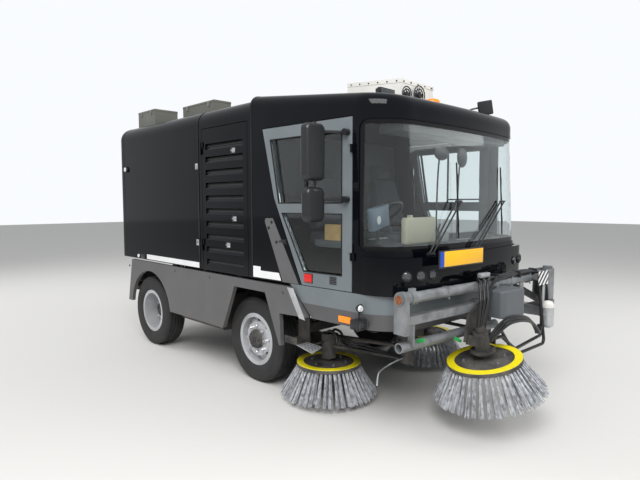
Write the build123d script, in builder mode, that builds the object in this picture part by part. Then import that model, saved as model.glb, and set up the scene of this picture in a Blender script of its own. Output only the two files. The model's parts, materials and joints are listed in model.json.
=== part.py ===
from build123d import *
from math import cos, radians, sin
import os

# Compact road sweeper: cab over the front axle, engine bay behind it, tipping hopper at the tail,
# two side brushes ahead of the front wheels and a third brush on a folding boom across the nose.
# Millimetres. +X is the machine's left, the nose looks along -Y and +Z is up. The origin is on the
# ground, on the centre line, half way along the machine's length.

os.makedirs("parts", exist_ok=True)

# Clearances
seat_gap = 0.3  # between pieces that sit on each other
shaft_gap = 0.3  # round a shaft, each side
panel_gap = 6.0  # round a door or lid

# Overall half width and height of the body
body_half = 1085.0
roof_top_z = 2620.0

# Wheels and axles
front_axle_y = -136.0
wheelbase = 1890.0
rear_axle_y = front_axle_y + wheelbase
tyre_r = 400.0
tyre_width = 235.0
rim_seat_r = 222.0
rim_flange_r = 245.0
front_tyre_inset = 122.0
rear_tyre_inset = 30.0
kingpin_inset = 203.0
front_tyre_face_x = body_half - front_tyre_inset
rear_tyre_face_x = body_half - rear_tyre_inset
kingpin_x = front_tyre_face_x - kingpin_inset
stub_r = 48.0
rim_plate = 14.0

# Body stations, from the front axle
cab_back_y = front_axle_y - 140.0
bay_back_y = front_axle_y + 720.0
hopper_back_y = front_axle_y + 2450.0
tail_y = front_axle_y + 2600.0

# Body section
body_bottom_z = 1010.0
body_crown = 40.0
shoulder_z = roof_top_z - body_crown
shoulder_r = 150.0
wall = 50.0

# Cab
cab_taper = 65.0
cab_front_half = body_half - cab_taper
cab_front_bottom_y = front_axle_y - 1722.0
cab_lean = 67.0
cab_front_top_y = cab_front_bottom_y + cab_lean
cab_crown = 80.0
cab_corner_r = 330.0
roof_depth = 305.0
eave_z = roof_top_z - roof_depth
cab_floor = 50.0
roof_step = 8.0
roof_rear_z = roof_top_z - roof_step
roof_fall = 172.0
roof_front_z = roof_rear_z - roof_fall
roof_edge_r = 100.0
screen_bottom_z = 1325.0
screen_head = 43.0
screen_top_z = eave_z - screen_head
screen_side_y = front_axle_y - 1352.0
screen_corner_r = 70.0
glass = 6.0
glass_inset = 10.0

# Cab door, from the front axle
door_front_y = front_axle_y - 1290.0
door_top_rear_y = front_axle_y - 300.0
door_knee_y = front_axle_y - 440.0
door_knee_z = 1720.0
door_foot_y = front_axle_y - 770.0
door_head = 15.0
door_top_z = eave_z - door_head
door_bottom_z = body_bottom_z + panel_gap
door_frame = 95.0
door_rail_z = 1625.0
kick_panel_z = 1125.0
door_thick = 45.0

# Skirts and bumper
skirt_top_z = 985.0
skirt_bottom_z = 470.0
skirt_thick = 40.0
skirt_front_y = front_axle_y - 640.0
skirt_tail_y = front_axle_y + 2400.0
rear_arch_r = 480.0
band_bottom_z = 870.0
bumper_bottom_z = 755.0
bumper_thick = 45.0
nose_bulge = 50.0
nose_top_z = 1285.0

# Chassis
rail_x = 400.0
rail_width = 70.0
rail_low_z = 640.0
rail_high_z = 800.0
chassis_front_y = front_axle_y - 1480.0
chassis_tail_y = front_axle_y + 2500.0
bumper_back_y = front_axle_y + 2620.0
bumper_half = 930.0

# Hopper tipping
tip_pivot_y = front_axle_y + 2400.0
tip_pivot_z = 930.0
tip_pin_r = 25.0
ram_x = rail_x + 160.0
ram_base_y = front_axle_y + 2150.0
ram_base_z = 550.0
ram_eye_y = front_axle_y + 1950.0
ram_eye_z = tip_pivot_z
ram_r = 45.0
ram_rod_r = 26.0

# Brushes
brush_plate_r = 275.0
brush_ring_inner_r = 218.0
brush_tip_r = 420.0
brush_drop = 265.0
brush_plate = 25.0
brush_ring = 8.0
tufts_outer = 36
tufts_inner = 24
side_brush_x = body_half - 350.0
side_brush_y = front_axle_y - 755.0
side_brush_z = 310.0
arm_pivot_x = rail_x + 220.0
arm_pivot_y = front_axle_y - 1500.0
arm_pivot_z = 500.0
arm_pin_r = 20.0

# Third brush and its boom, drawn square to the machine and then turned about the boom's post
boom_x = body_half - 205.0
boom_y = cab_front_bottom_y - 228.0
boom_z = 1030.0
boom_turn = -5.2
boom_pin_inset = 100.0
boom_lift_x = boom_x - boom_pin_inset
boom_reach = 1888.0
boom_end_x = boom_lift_x - boom_reach
boom_tube_r = 38.0
link_z = 880.0
link_side = 60.0
link_length = 958.0
link_end_x = boom_end_x + link_length
guard_y = boom_y + 38.0
guard_z = 685.0
guard_r = 36.0
front_brush_x = boom_end_x + 790.0
front_brush_y = boom_y - 144.0
front_brush_z = 513.0
front_brush_axis = Vector(-0.190, 0.060, 0.98)


def side_face(points, x=0.0):
    """Returns the face of a side view outline, given as points of y and z, on the plane at x."""
    with BuildSketch(Plane.YZ.offset(x)) as face:
        Polygon(*points, align=None)
    return face.sketch


def front_face(points, y=0.0):
    """Returns the face of a front view outline, given as points of x and z, on the plane at y."""
    with BuildSketch(Plane.XZ.offset(-y)) as face:
        Polygon(*points, align=None)
    return face.sketch


def block(x, y, z, mode=Mode.ADD):
    """Adds a block between pairs of x, y and z."""
    with Locations(((x[0] + x[1]) / 2, (y[0] + y[1]) / 2, (z[0] + z[1]) / 2)):
        Box(x[1] - x[0], y[1] - y[0], z[1] - z[0], mode=mode)


def rod(start, end, radius, mode=Mode.ADD):
    """Adds a round bar between two points."""
    run = Vector(*end) - Vector(*start)
    with BuildSketch(Plane(origin=start, z_dir=run)) as disc:
        Circle(radius)
    extrude(disc.sketch, amount=run.length, mode=mode)


def export(piece, name):
    """Labels a finished piece and writes it."""
    piece.part.label = name
    export_step(piece.part, f"parts/{name}.step")


def export_pair(piece, name):
    """Writes a right-hand piece and its mirror image for the left."""
    export(piece, f"{name}_right")
    with BuildPart() as twin:
        mirror(piece.part, about=Plane.YZ)
    export(twin, f"{name}_left")


def export_turned(piece, name):
    """Writes a piece drawn with the boom square to the machine, turned to how the boom stands."""
    with BuildPart() as turned:
        add(Pos(boom_x, boom_y, 0) * Rot(0, 0, boom_turn) * Pos(-boom_x, -boom_y, 0) * piece.part)
    export(turned, name)


def body_section(y, inset=0.0):
    """Returns the body's cross-section at y: upright walls, round shoulders and a crowned roof."""
    half = body_half - inset
    with BuildSketch(Plane.XZ.offset(-y)) as section:
        with BuildLine():
            ThreePointArc((-half, shoulder_z - inset), (0, roof_top_z - inset), (half, shoulder_z - inset))
            Polyline(
                (half, shoulder_z - inset),
                (half, body_bottom_z + inset),
                (-half, body_bottom_z + inset),
                (-half, shoulder_z - inset),
            )
        make_face()
        fillet(section.vertices().group_by(Axis.Y)[-1], shoulder_r - inset)
    return section.sketch


def cab_outline(z, inset=0.0, bulge=0.0):
    """Returns the cab's plan at a height: sides that close in, big corners and a crowned front."""
    share = (z - body_bottom_z) / (eave_z - body_bottom_z)
    front = cab_front_bottom_y + share * (cab_front_top_y - cab_front_bottom_y) + inset - bulge
    back = cab_back_y - inset
    with BuildSketch(Plane.XY.offset(z)) as outline:
        with BuildLine():
            ThreePointArc(
                (-cab_front_half + inset, front + cab_crown),
                (0, front),
                (cab_front_half - inset, front + cab_crown),
            )
            Polyline(
                (cab_front_half - inset, front + cab_crown),
                (body_half - inset, back),
                (-body_half + inset, back),
                (-cab_front_half + inset, front + cab_crown),
            )
        make_face()
        fillet(outline.vertices().group_by(Axis.Y)[0], cab_corner_r - inset)
    return outline.sketch


def cab_skin(low, high, outer, inner):
    """Returns a ring between two insets of the cab's plan, from one height to another."""
    with BuildPart() as skin:
        loft([cab_outline(low, outer), cab_outline(high, outer)])
        loft([cab_outline(low, inner), cab_outline(high, inner)], mode=Mode.SUBTRACT)
    return skin.part


def door_outline(grow=0.0):
    """Returns the door's outline in side view, grown by a clearance."""
    return [
        (door_front_y - grow, door_bottom_z - grow),
        (door_foot_y + grow, door_bottom_z - grow),
        (door_knee_y + grow, door_knee_z),
        (door_top_rear_y + grow, door_top_z + grow),
        (door_front_y - grow, door_top_z + grow),
    ]


window_rear_top_y = door_top_rear_y - door_frame
window_rear_low_y = door_knee_y - 0.6 * door_frame
upper_window = [
    (door_front_y + door_frame, door_rail_z + door_frame / 2),
    (window_rear_low_y, door_rail_z + door_frame / 2),
    (window_rear_top_y, door_top_z - door_frame),
    (door_front_y + door_frame, door_top_z - door_frame),
]
lower_window = [
    (door_front_y + door_frame, kick_panel_z),
    (door_foot_y - 0.2 * door_frame, kick_panel_z),
    (window_rear_low_y - 0.4 * door_frame, door_rail_z - door_frame / 3),
    (door_front_y + door_frame, door_rail_z - door_frame / 3),
]
reach = body_half + 200.0

# Hinges of the cab doors, the louvred doors and the tail door
hinge_r = 9.0
hinge_pin_r = 4.5
hinge_run = 60.0
hinge_leaf = 32.0
door_hinge_x = cab_front_half + 26.0
door_hinge_y = door_front_y - panel_gap / 2
door_hinge_z = (1250.0, 2040.0)
louvre_post = 50.0
louvre_hinge_x = body_half + 9.5
louvre_hinge_y = bay_back_y - louvre_post - panel_gap / 2
louvre_hinge_z = (1200.0, 2150.0)
tail_hinge_y = hopper_back_y + panel_gap / 2
tail_hinge_z = roof_top_z + 10.0
tail_hinge_x = (-500.0, 380.0)
tail_leaf = 50.0


def fixed_barrel(start, way):
    """Adds the hinge barrel of the piece that stays, with its pin."""
    rod(start, tuple(Vector(*start) + way * hinge_run), hinge_r)
    rod(start, tuple(Vector(*start) + way * (2 * hinge_run - 4.0)), hinge_pin_r)


def moving_barrel(start, way):
    """Adds the hinge barrel of the piece that swings, bored for the pin."""
    low = tuple(Vector(*start) + way * (hinge_run + seat_gap))
    rod(low, tuple(Vector(*start) + way * 2 * hinge_run), hinge_r)


def moving_bore(start, way):
    """Bores the barrel of the piece that swings."""
    end = tuple(Vector(*start) + way * (2 * hinge_run + 1.0))
    rod(tuple(Vector(*start) + way * hinge_run), end, hinge_pin_r + shaft_gap, mode=Mode.SUBTRACT)


# Chassis frame: two rails, cross members, lugs for the hopper's pins and ears for its rams
duct_front_y = front_axle_y + 500.0
member_half = 40.0
cross_members = (
    chassis_front_y + member_half,
    front_axle_y + 20.0,
    duct_front_y - seat_gap - member_half,
    front_axle_y + 950.0,
    ram_base_y,
)
member_low_z = rail_low_z + 20.0
member_high_z = rail_high_z - 20.0
ram_ear_gap = ram_r + 4.0
ram_ear = 18.0
ram_ear_half = 28.0
ram_beam_y = (ram_base_y + 60.0, ram_base_y + 80.0)
ram_pin_r = 18.0
pivot_lug_r = tip_pin_r + 30.0
arm_shelf = 60.0
arm_boss_r = 45.0
arm_pin_low_z = arm_pivot_z - 70.0
with BuildPart() as chassis_frame:
    for side in (-1, 1):
        edge = sorted((side * rail_x, side * (rail_x + rail_width)))
        block(edge, (chassis_front_y, chassis_tail_y), (rail_low_z, rail_high_z))
        lug = sorted((side * (rail_x + 5.0), side * (rail_x + rail_width - 5.0)))
        with BuildSketch(Plane.YZ.offset(lug[0])) as pivot_lug:
            with Locations((tip_pivot_y, tip_pivot_z)):
                Circle(pivot_lug_r)
            with Locations((tip_pivot_y, (tip_pivot_z + rail_high_z) / 2)):
                Rectangle(2 * pivot_lug_r, tip_pivot_z - rail_high_z)
            with Locations((tip_pivot_y, tip_pivot_z)):
                Circle(tip_pin_r + shaft_gap, mode=Mode.SUBTRACT)
        extrude(pivot_lug.sketch, amount=lug[1] - lug[0])
        beam = sorted((side * (rail_x + rail_width), side * (ram_x + ram_ear_gap + ram_ear)))
        block(beam, ram_beam_y, (ram_base_z - ram_ear_half, member_high_z))
        for ear_x in (ram_x - ram_ear_gap - ram_ear, ram_x + ram_ear_gap):
            ear_span = sorted((side * ear_x, side * (ear_x + ram_ear)))
            ear_y = (ram_base_y - ram_ear_half, ram_beam_y[1])
            block(ear_span, ear_y, (ram_base_z - ram_ear_half, ram_base_z + ram_ear_half))
        rod(
            (side * (ram_x - ram_ear_gap - ram_ear), ram_base_y, ram_base_z),
            (side * (ram_x + ram_ear_gap + ram_ear), ram_base_y, ram_base_z),
            ram_pin_r,
        )
        shelf = sorted((side * (rail_x + rail_width), side * (arm_pivot_x + arm_shelf)))
        shelf_y = (arm_pivot_y - arm_boss_r, arm_pivot_y + arm_boss_r)
        block(shelf, shelf_y, (rail_low_z, rail_low_z + arm_shelf))
        rod(
            (side * arm_pivot_x, arm_pivot_y, rail_low_z),
            (side * arm_pivot_x, arm_pivot_y, arm_pin_low_z),
            arm_pin_r,
        )
    for y in cross_members:
        block((-rail_x, rail_x), (y - member_half, y + member_half), (member_low_z, member_high_z))
export(chassis_frame, "chassis_frame")

# Body mounts: posts on the rails, outriggers to the skirts and tanks, and the steps below the doors
tank_top_z = 760.0
skirt_inner_x = body_half - skirt_thick
rail_out_x = rail_x + rail_width + seat_gap
step_x = (body_half - 185.0, body_half - 30.0)
step_y = (front_axle_y - 700.0, front_axle_y - 545.0)
step_z = 500.0
outriggers = (  # y, inner x, low z, high z
    (front_axle_y - 665.0, rail_x, rail_high_z + seat_gap, 880.0),
    (front_axle_y + 560.0, rail_out_x, tank_top_z + seat_gap, 830.0),
    (front_axle_y + 850.0, rail_out_x, tank_top_z + seat_gap, 830.0),
    (front_axle_y + 1410.0, rail_out_x, rail_low_z, 700.0),
    (front_axle_y + 2350.0, rail_out_x, rail_low_z, 700.0),
)
outrigger_half = 20.0
body_posts = (  # from y, to y
    (front_axle_y - 1440.0, front_axle_y - 1360.0),
    (front_axle_y - 640.0, front_axle_y - 560.0),
    (cab_back_y - 90.0, cab_back_y - 20.0),
    (cab_back_y + 20.0, cab_back_y + 90.0),
    (bay_back_y - 90.0, bay_back_y - 20.0),
    (bay_back_y + 60.0, bay_back_y + 140.0),
    (front_axle_y + 1790.0, front_axle_y + 1870.0),
)
with BuildPart() as body_mounts:
    for side in (-1, 1):
        edge = sorted((side * rail_x, side * (rail_x + rail_width)))
        for from_y, to_y in body_posts:
            block(edge, (from_y, to_y), (rail_high_z + seat_gap, body_bottom_z - seat_gap))
        for y, inner_x, low_z, high_z in outriggers:
            beam = sorted((side * inner_x, side * (skirt_inner_x - seat_gap)))
            block(beam, (y - outrigger_half, y + outrigger_half), (low_z, high_z))
        hanger = sorted((side * step_x[0], side * (step_x[0] + 12.0)))
        block(hanger, (step_y[0], step_y[1] - 20.0), (step_z, 840.0))
        tread = sorted((side * step_x[0], side * step_x[1]))
        block(tread, step_y, (step_z, step_z + 22.0))
        lip = sorted((side * (step_x[1] - 6.0), side * step_x[1]))
        block(lip, step_y, (step_z, step_z + 60.0))
export(body_mounts, "body_mounts")

# Engine, one plain block between the rails
with BuildPart() as engine_block:
    block((-380.0, 380.0), (cab_back_y + 120.0, duct_front_y - 10.0), (member_high_z + seat_gap, 1560.0))
    fillet(engine_block.edges().filter_by(Axis.Z), 40.0)
export(engine_block, "engine_block")

half_tyre = tyre_width / 2

# Front axle beam with a boss for each kingpin
beam_half = kingpin_x - 30.0
beam_top = 40.0
beam_deep = 50.0
beam_y = (front_axle_y - 40.0, front_axle_y + 40.0)
spring_inset = 5.0
spring_half = 420.0
spring_end = 50.0
spring_low_z = tyre_r + 70.0
spring_thick = 40.0
spring_end_z = rail_low_z - seat_gap
kingpin_boss_r = 42.0
kingpin_r = 18.0
boss_half = 55.0
with BuildPart() as front_axle:
    block((-beam_half, beam_half), beam_y, (tyre_r - beam_deep, tyre_r + beam_top))
    for side in (-1, 1):
        rod(
            (side * kingpin_x, front_axle_y, tyre_r - boss_half),
            (side * kingpin_x, front_axle_y, tyre_r + boss_half),
            kingpin_boss_r,
        )
        rod(
            (side * kingpin_x, front_axle_y, tyre_r - boss_half),
            (side * kingpin_x, front_axle_y, tyre_r + boss_half),
            kingpin_r + shaft_gap,
            mode=Mode.SUBTRACT,
        )
        spring = sorted((side * (rail_x + spring_inset), side * (rail_x + rail_width - spring_inset)))
        with BuildSketch(Plane.YZ.offset(spring[0])) as leaf:
            with BuildLine():
                ThreePointArc(
                    (front_axle_y - spring_half, spring_end_z),
                    (front_axle_y, spring_low_z),
                    (front_axle_y + spring_half, spring_end_z),
                )
                Line(
                    (front_axle_y + spring_half, spring_end_z),
                    (front_axle_y + spring_half - spring_end, spring_end_z),
                )
                ThreePointArc(
                    (front_axle_y + spring_half - spring_end, spring_end_z),
                    (front_axle_y, spring_low_z + spring_thick),
                    (front_axle_y - spring_half + spring_end, spring_end_z),
                )
                Line(
                    (front_axle_y - spring_half + spring_end, spring_end_z),
                    (front_axle_y - spring_half, spring_end_z),
                )
            make_face()
        extrude(leaf.sketch, amount=spring[1] - spring[0])
        saddle_y = (front_axle_y - spring_end, front_axle_y + spring_end)
        block(spring, saddle_y, (tyre_r + beam_top - 10.0, spring_low_z + 20.0))
export(front_axle, "front_axle")

# Steering knuckle: two ears round the boss, kingpin, and the stub that carries the wheel
knuckle_gap = 1.0
ear = 22.0
ear_r = 38.0
ear_low = tyre_r - boss_half - knuckle_gap
ear_high = tyre_r + boss_half + knuckle_gap
web_in = kingpin_x + kingpin_boss_r + 8.0
web_out = web_in + 24.0
front_wheel_x = front_tyre_face_x - tyre_width / 2
front_dish = 62.0
stub_end = front_wheel_x + front_dish + 18.0
with BuildPart() as knuckle:
    for low, high in ((ear_low - ear, ear_low), (ear_high, ear_high + ear)):
        block((-web_out, -kingpin_x), (front_axle_y - ear_r, front_axle_y + ear_r), (low, high))
        rod((-kingpin_x, front_axle_y, low), (-kingpin_x, front_axle_y, high), ear_r)
    web_y = (front_axle_y - boss_half, front_axle_y + boss_half)
    block((-web_out, -web_in), web_y, (ear_low - ear, ear_high + ear))
    rod((-kingpin_x, front_axle_y, ear_low - ear), (-kingpin_x, front_axle_y, ear_high + ear), kingpin_r)
    rod((-web_out, front_axle_y, tyre_r), (-stub_end, front_axle_y, tyre_r), stub_r)
    with BuildSketch(Plane.XY.offset(ear_low - ear)) as lever:
        with BuildLine():
            Polyline(
                (-web_in, front_axle_y + 30.0),
                (-kingpin_x + 30.0, front_axle_y + 170.0),
                (-kingpin_x + 65.0, front_axle_y + 160.0),
                (-kingpin_x, front_axle_y),
                (-web_in, front_axle_y + 30.0),
            )
        make_face()
    extrude(lever.sketch, amount=ear)
export_pair(knuckle, "knuckle")

# Rear axle: tubes, drive housing, spring packs and the stubs that carry the wheels
rear_wheel_x = rear_tyre_face_x - tyre_width / 2
rear_dish = -58.0
rear_stub_end = rear_wheel_x + rear_dish + 18.0
rear_tube_end = rear_wheel_x - half_tyre - 60.0
axle_tube_r = 62.0
drive_housing_r = 150.0
drive_housing_x = (100.0, 190.0)
rear_spring_half = 450.0
rear_spring_low_z = tyre_r + 90.0
shackle_half = 20.0
with BuildPart() as rear_axle:
    axle_plane = Plane(origin=(0, rear_axle_y, tyre_r), x_dir=(1, 0, 0), z_dir=(0, -1, 0))
    with BuildSketch(axle_plane):
        Polygon(
            (-rear_stub_end, 0.0),
            (-rear_stub_end, stub_r),
            (-rear_tube_end, stub_r),
            (-rear_tube_end, axle_tube_r),
            (-drive_housing_x[1], axle_tube_r),
            (-drive_housing_x[0], drive_housing_r),
            (drive_housing_x[0], drive_housing_r),
            (drive_housing_x[1], axle_tube_r),
            (rear_tube_end, axle_tube_r),
            (rear_tube_end, stub_r),
            (rear_stub_end, stub_r),
            (rear_stub_end, 0.0),
            align=None,
        )
    revolve(axis=Axis((0, rear_axle_y, tyre_r), (1, 0, 0)))
    for side in (-1, 1):
        spring = sorted((side * (rail_x + spring_inset), side * (rail_x + rail_width - spring_inset)))
        pack_y = (rear_axle_y - rear_spring_half, rear_axle_y + rear_spring_half)
        block(spring, pack_y, (rear_spring_low_z, rear_spring_low_z + spring_thick))
        saddle_y = (rear_axle_y - axle_tube_r, rear_axle_y + axle_tube_r)
        block(spring, saddle_y, (tyre_r, rear_spring_low_z + 10.0))
        for end in (-rear_spring_half + shackle_half, rear_spring_half - shackle_half):
            shackle_y = (rear_axle_y + end - shackle_half, rear_axle_y + end + shackle_half)
            block(spring, shackle_y, (rear_spring_low_z + 10.0, spring_end_z))
export(rear_axle, "rear_axle")

# Wheels: tyre and rim for each corner, drawn across the wheel from its middle, outboard positive
wheels = (  # name, middle x, axle y, dish of the disc
    ("front", front_wheel_x, front_axle_y, front_dish),
    ("rear", rear_wheel_x, rear_axle_y, rear_dish),
)
bead = half_tyre - 32.0
disc_flat_r = 150.0
disc_cone = 40.0
hub_cap_r = 70.0
hub_cap = 12.0
vent_r = 20.0
vent_circle_r = 180.0
vent_count = 8
shoulder_step = 24.0
sidewall_r = (rim_flange_r + tyre_r) / 2 - 10.0
for name, wheel_x, axle_y, dish in wheels:
    section = Plane(origin=(-wheel_x, axle_y, tyre_r), x_dir=(-1, 0, 0), z_dir=(0, 1, 0))
    spin = Axis((-wheel_x, axle_y, tyre_r), (1, 0, 0))
    with BuildPart() as tyre:
        with BuildSketch(section):
            Polygon(
                (-bead, rim_seat_r),
                (-bead, rim_flange_r + 4.0),
                (-half_tyre, sidewall_r),
                (-half_tyre + 6.0, tyre_r - 32.0),
                (-half_tyre + shoulder_step, tyre_r),
                (half_tyre - shoulder_step, tyre_r),
                (half_tyre - 6.0, tyre_r - 32.0),
                (half_tyre, sidewall_r),
                (bead, rim_flange_r + 4.0),
                (bead, rim_seat_r),
                align=None,
            )
        revolve(axis=spin)
    export_pair(tyre, f"tyre_{name}")
    barrel_r = rim_seat_r - seat_gap
    flange = bead + seat_gap
    hub_end = dish + 50.0
    with BuildPart() as rim:
        with BuildSketch(section):
            Polygon(
                (-flange - rim_plate, rim_flange_r),
                (-flange, rim_flange_r),
                (-flange, barrel_r),
                (flange, barrel_r),
                (flange, rim_flange_r),
                (flange + rim_plate, rim_flange_r),
                (flange + rim_plate, barrel_r - rim_plate),
                (-flange - rim_plate, barrel_r - rim_plate),
                align=None,
            )
            Polygon(
                (dish, stub_r + shaft_gap),
                (dish, disc_flat_r),
                (dish - disc_cone, barrel_r - rim_plate),
                (dish - disc_cone + rim_plate, barrel_r - rim_plate),
                (dish + rim_plate, disc_flat_r + 8.0),
                (dish + rim_plate, hub_cap_r + 8.0),
                (hub_end, hub_cap_r),
                (hub_end, 0.0),
                (hub_end - hub_cap, 0.0),
                (hub_end - hub_cap, stub_r + shaft_gap),
                align=None,
            )
        revolve(axis=spin)
        hole_plane = Plane(origin=(-wheel_x, axle_y, tyre_r), z_dir=(-1, 0, 0))
        with BuildSketch(hole_plane.offset(dish - 1.5 * disc_cone)):
            with PolarLocations(vent_circle_r, vent_count):
                Circle(vent_r)
        extrude(amount=2.5 * disc_cone + 2 * rim_plate, mode=Mode.SUBTRACT)
    export_pair(rim, f"rim_{name}")

# Side skirts with the wheel arches
with BuildPart() as skirt:
    outline = [
        (skirt_front_y - 205.0, bumper_bottom_z + 5.0),
        (front_axle_y - 515.0, bumper_bottom_z - 10.0),
        (front_axle_y - 530.0, skirt_bottom_z),
        (front_axle_y - 505.0, skirt_bottom_z),
        (front_axle_y - 320.0, 900.0),
        (front_axle_y + 140.0, 900.0),
        (front_axle_y + 340.0, skirt_bottom_z),
        (skirt_tail_y + 25.0, skirt_bottom_z),
        (skirt_tail_y - 90.0, skirt_top_z),
        (skirt_front_y, skirt_top_z),
    ]
    extrude(side_face(outline, -body_half), amount=skirt_thick)
    with BuildSketch(Plane.YZ.offset(-body_half)) as arch:
        with Locations((rear_axle_y - 35.0, tyre_r)):
            Circle(rear_arch_r)
    extrude(arch.sketch, amount=skirt_thick, mode=Mode.SUBTRACT)
export_pair(skirt, "skirt")

seat_x = cab_front_half - 580.0
seat_low_z = 1310.0
seat_box_half = 170.0
seat_box_y = (front_axle_y - 900.0, front_axle_y - 480.0)
screen_cut = 800.0
door_leaf_step = 25.0
louvre_leaf_step = 13.0

# Cab shell: walls, floor, bulkhead, door and screen openings
with BuildPart() as cab_shell:
    add(cab_skin(body_bottom_z, eave_z, 0.0, wall))
    extrude(cab_outline(body_bottom_z, wall / 2), amount=cab_floor)
    extrude(side_face(door_outline(panel_gap)), amount=reach, both=True, mode=Mode.SUBTRACT)
    extrude(cab_outline(body_bottom_z, door_thick + 15.0), amount=cab_floor)
    with BuildSketch(Plane.YZ) as screen_hole:
        with Locations((screen_side_y - screen_cut / 2, (screen_bottom_z + screen_top_z) / 2)):
            RectangleRounded(screen_cut, screen_top_z - screen_bottom_z, screen_corner_r)
    extrude(screen_hole.sketch, amount=reach, both=True, mode=Mode.SUBTRACT)
    for x in (-seat_x, seat_x):
        block((x - seat_box_half, x + seat_box_half), seat_box_y, (body_bottom_z, seat_low_z))
    for side in (-1, 1):
        for z in door_hinge_z:
            fixed_barrel((side * door_hinge_x, door_hinge_y, z), Vector(0, 0, 1))
            leaf = sorted((side * (door_hinge_x - door_leaf_step), side * door_hinge_x))
            block(leaf, (door_hinge_y - hinge_leaf, door_hinge_y), (z, z + hinge_run))
export(cab_shell, "cab_shell")

# Windscreen
with BuildPart() as windscreen:
    add(cab_skin(body_bottom_z, eave_z, glass_inset, glass_inset + glass))
    with BuildSketch(Plane.YZ) as screen_edge:
        with Locations((screen_side_y - screen_cut / 2, (screen_bottom_z + screen_top_z) / 2)):
            RectangleRounded(
                screen_cut - 2 * seat_gap,
                screen_top_z - screen_bottom_z - 2 * seat_gap,
                screen_corner_r - seat_gap,
            )
    extrude(screen_edge.sketch, amount=reach, both=True, mode=Mode.INTERSECT)
export(windscreen, "windscreen")

# Cab roof: the plan carried up, cut by a sloping top, with round edges and a hollow underside
def roof_block(inset, drop):
    """Returns the plan above the eaves, cut by the roof's slope set down by a drop."""
    with BuildPart() as body:
        extrude(cab_outline(eave_z, inset), amount=roof_rear_z - eave_z)
        cap = [
            (cab_back_y + 10.0, eave_z),
            (cab_back_y + 10.0, roof_rear_z - drop),
            (cab_front_top_y - 10.0, roof_front_z - drop),
            (cab_front_top_y - 10.0, eave_z),
        ]
        extrude(side_face(cap), amount=reach, both=True, mode=Mode.INTERSECT)
    return body.part


with BuildPart() as cab_roof:
    add(roof_block(0.0, 0.0))
    top = cab_roof.faces().sort_by(Axis.Z)[-1]
    rear_edge = top.edges().sort_by(Axis.Y)[-1]
    fillet([edge for edge in top.edges() if edge.center().Y < rear_edge.center().Y - 1.0], roof_edge_r)
    add(roof_block(wall, wall), mode=Mode.SUBTRACT)
export(cab_roof, "cab_roof")

# Cab doors with their windows, and the glass
with BuildPart() as door:
    add(cab_skin(body_bottom_z, eave_z, 0.0, door_thick))
    extrude(side_face(door_outline(), -reach), amount=reach, mode=Mode.INTERSECT)
    for window in (upper_window, lower_window):
        extrude(side_face(window, -reach), amount=reach, mode=Mode.SUBTRACT)
    for z in door_hinge_z:
        start = (-door_hinge_x, door_hinge_y, z)
        moving_barrel(start, Vector(0, 0, 1))
        block(
            (-door_hinge_x, -door_hinge_x + door_leaf_step),
            (door_hinge_y, door_hinge_y + hinge_leaf),
            (z + hinge_run + seat_gap, z + 2 * hinge_run),
        )
        moving_bore(start, Vector(0, 0, 1))
export_pair(door, "door")

with BuildPart() as panes:
    for window in (upper_window, lower_window):
        extrude(side_face(window, -reach), amount=reach)

with BuildPart() as door_glass:
    add(cab_skin(body_bottom_z, eave_z, 2 * glass_inset, 2 * glass_inset + glass))
    add(panes.part, mode=Mode.INTERSECT)
export_pair(door_glass, "door_glass")

# Mirrors on tube arms, carried by the front frame of each door
mirror_x = body_half + 160.0
mirror_y = front_axle_y - 1120.0
mirror_tube_r = 11.0
mirror_foot_r = 24.0
mirror_arm_z = (2190.0, 1700.0)
mirror_corner_r = 48.0
mirror_deep = 72.0
mirror_behind = 45.0
mirror_heads = (  # low z, high z, width
    (1835.0, 2245.0, 190.0),
    (1535.0, 1790.0, 180.0),
)
mirror_shells = []
for low, high, width in mirror_heads:
    with BuildPart() as shell:
        with BuildSketch(Plane.XZ.offset(mirror_behind - mirror_y)):
            with Locations((-mirror_x - 20.0, (low + high) / 2)):
                RectangleRounded(width, high - low, mirror_corner_r)
        extrude(amount=-mirror_deep)
        fillet(shell.faces().sort_by(Axis.Y)[0].edges(), 30.0)
        fillet(shell.faces().sort_by(Axis.Y)[-1].edges(), 8.0)
    mirror_shells.append(shell.part)
with BuildPart() as mirror_set:
    for z in mirror_arm_z:
        foot = (-cab_front_half + 20.0, door_front_y + 40.0, z)
        rod(foot, (-mirror_x, mirror_y, z), mirror_tube_r)
        rod(foot, (-mirror_x + 165.0, door_front_y + 40.0, z), mirror_foot_r)
    loft(
        [cab_outline(body_bottom_z, -seat_gap), cab_outline(eave_z, -seat_gap)],
        mode=Mode.SUBTRACT,
    )
    rod((-mirror_x, mirror_y, 1600.0), (-mirror_x, mirror_y, 2260.0), mirror_tube_r)
    for mirror_shell in mirror_shells:
        add(mirror_shell)
export_pair(mirror_set, "mirror")

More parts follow.
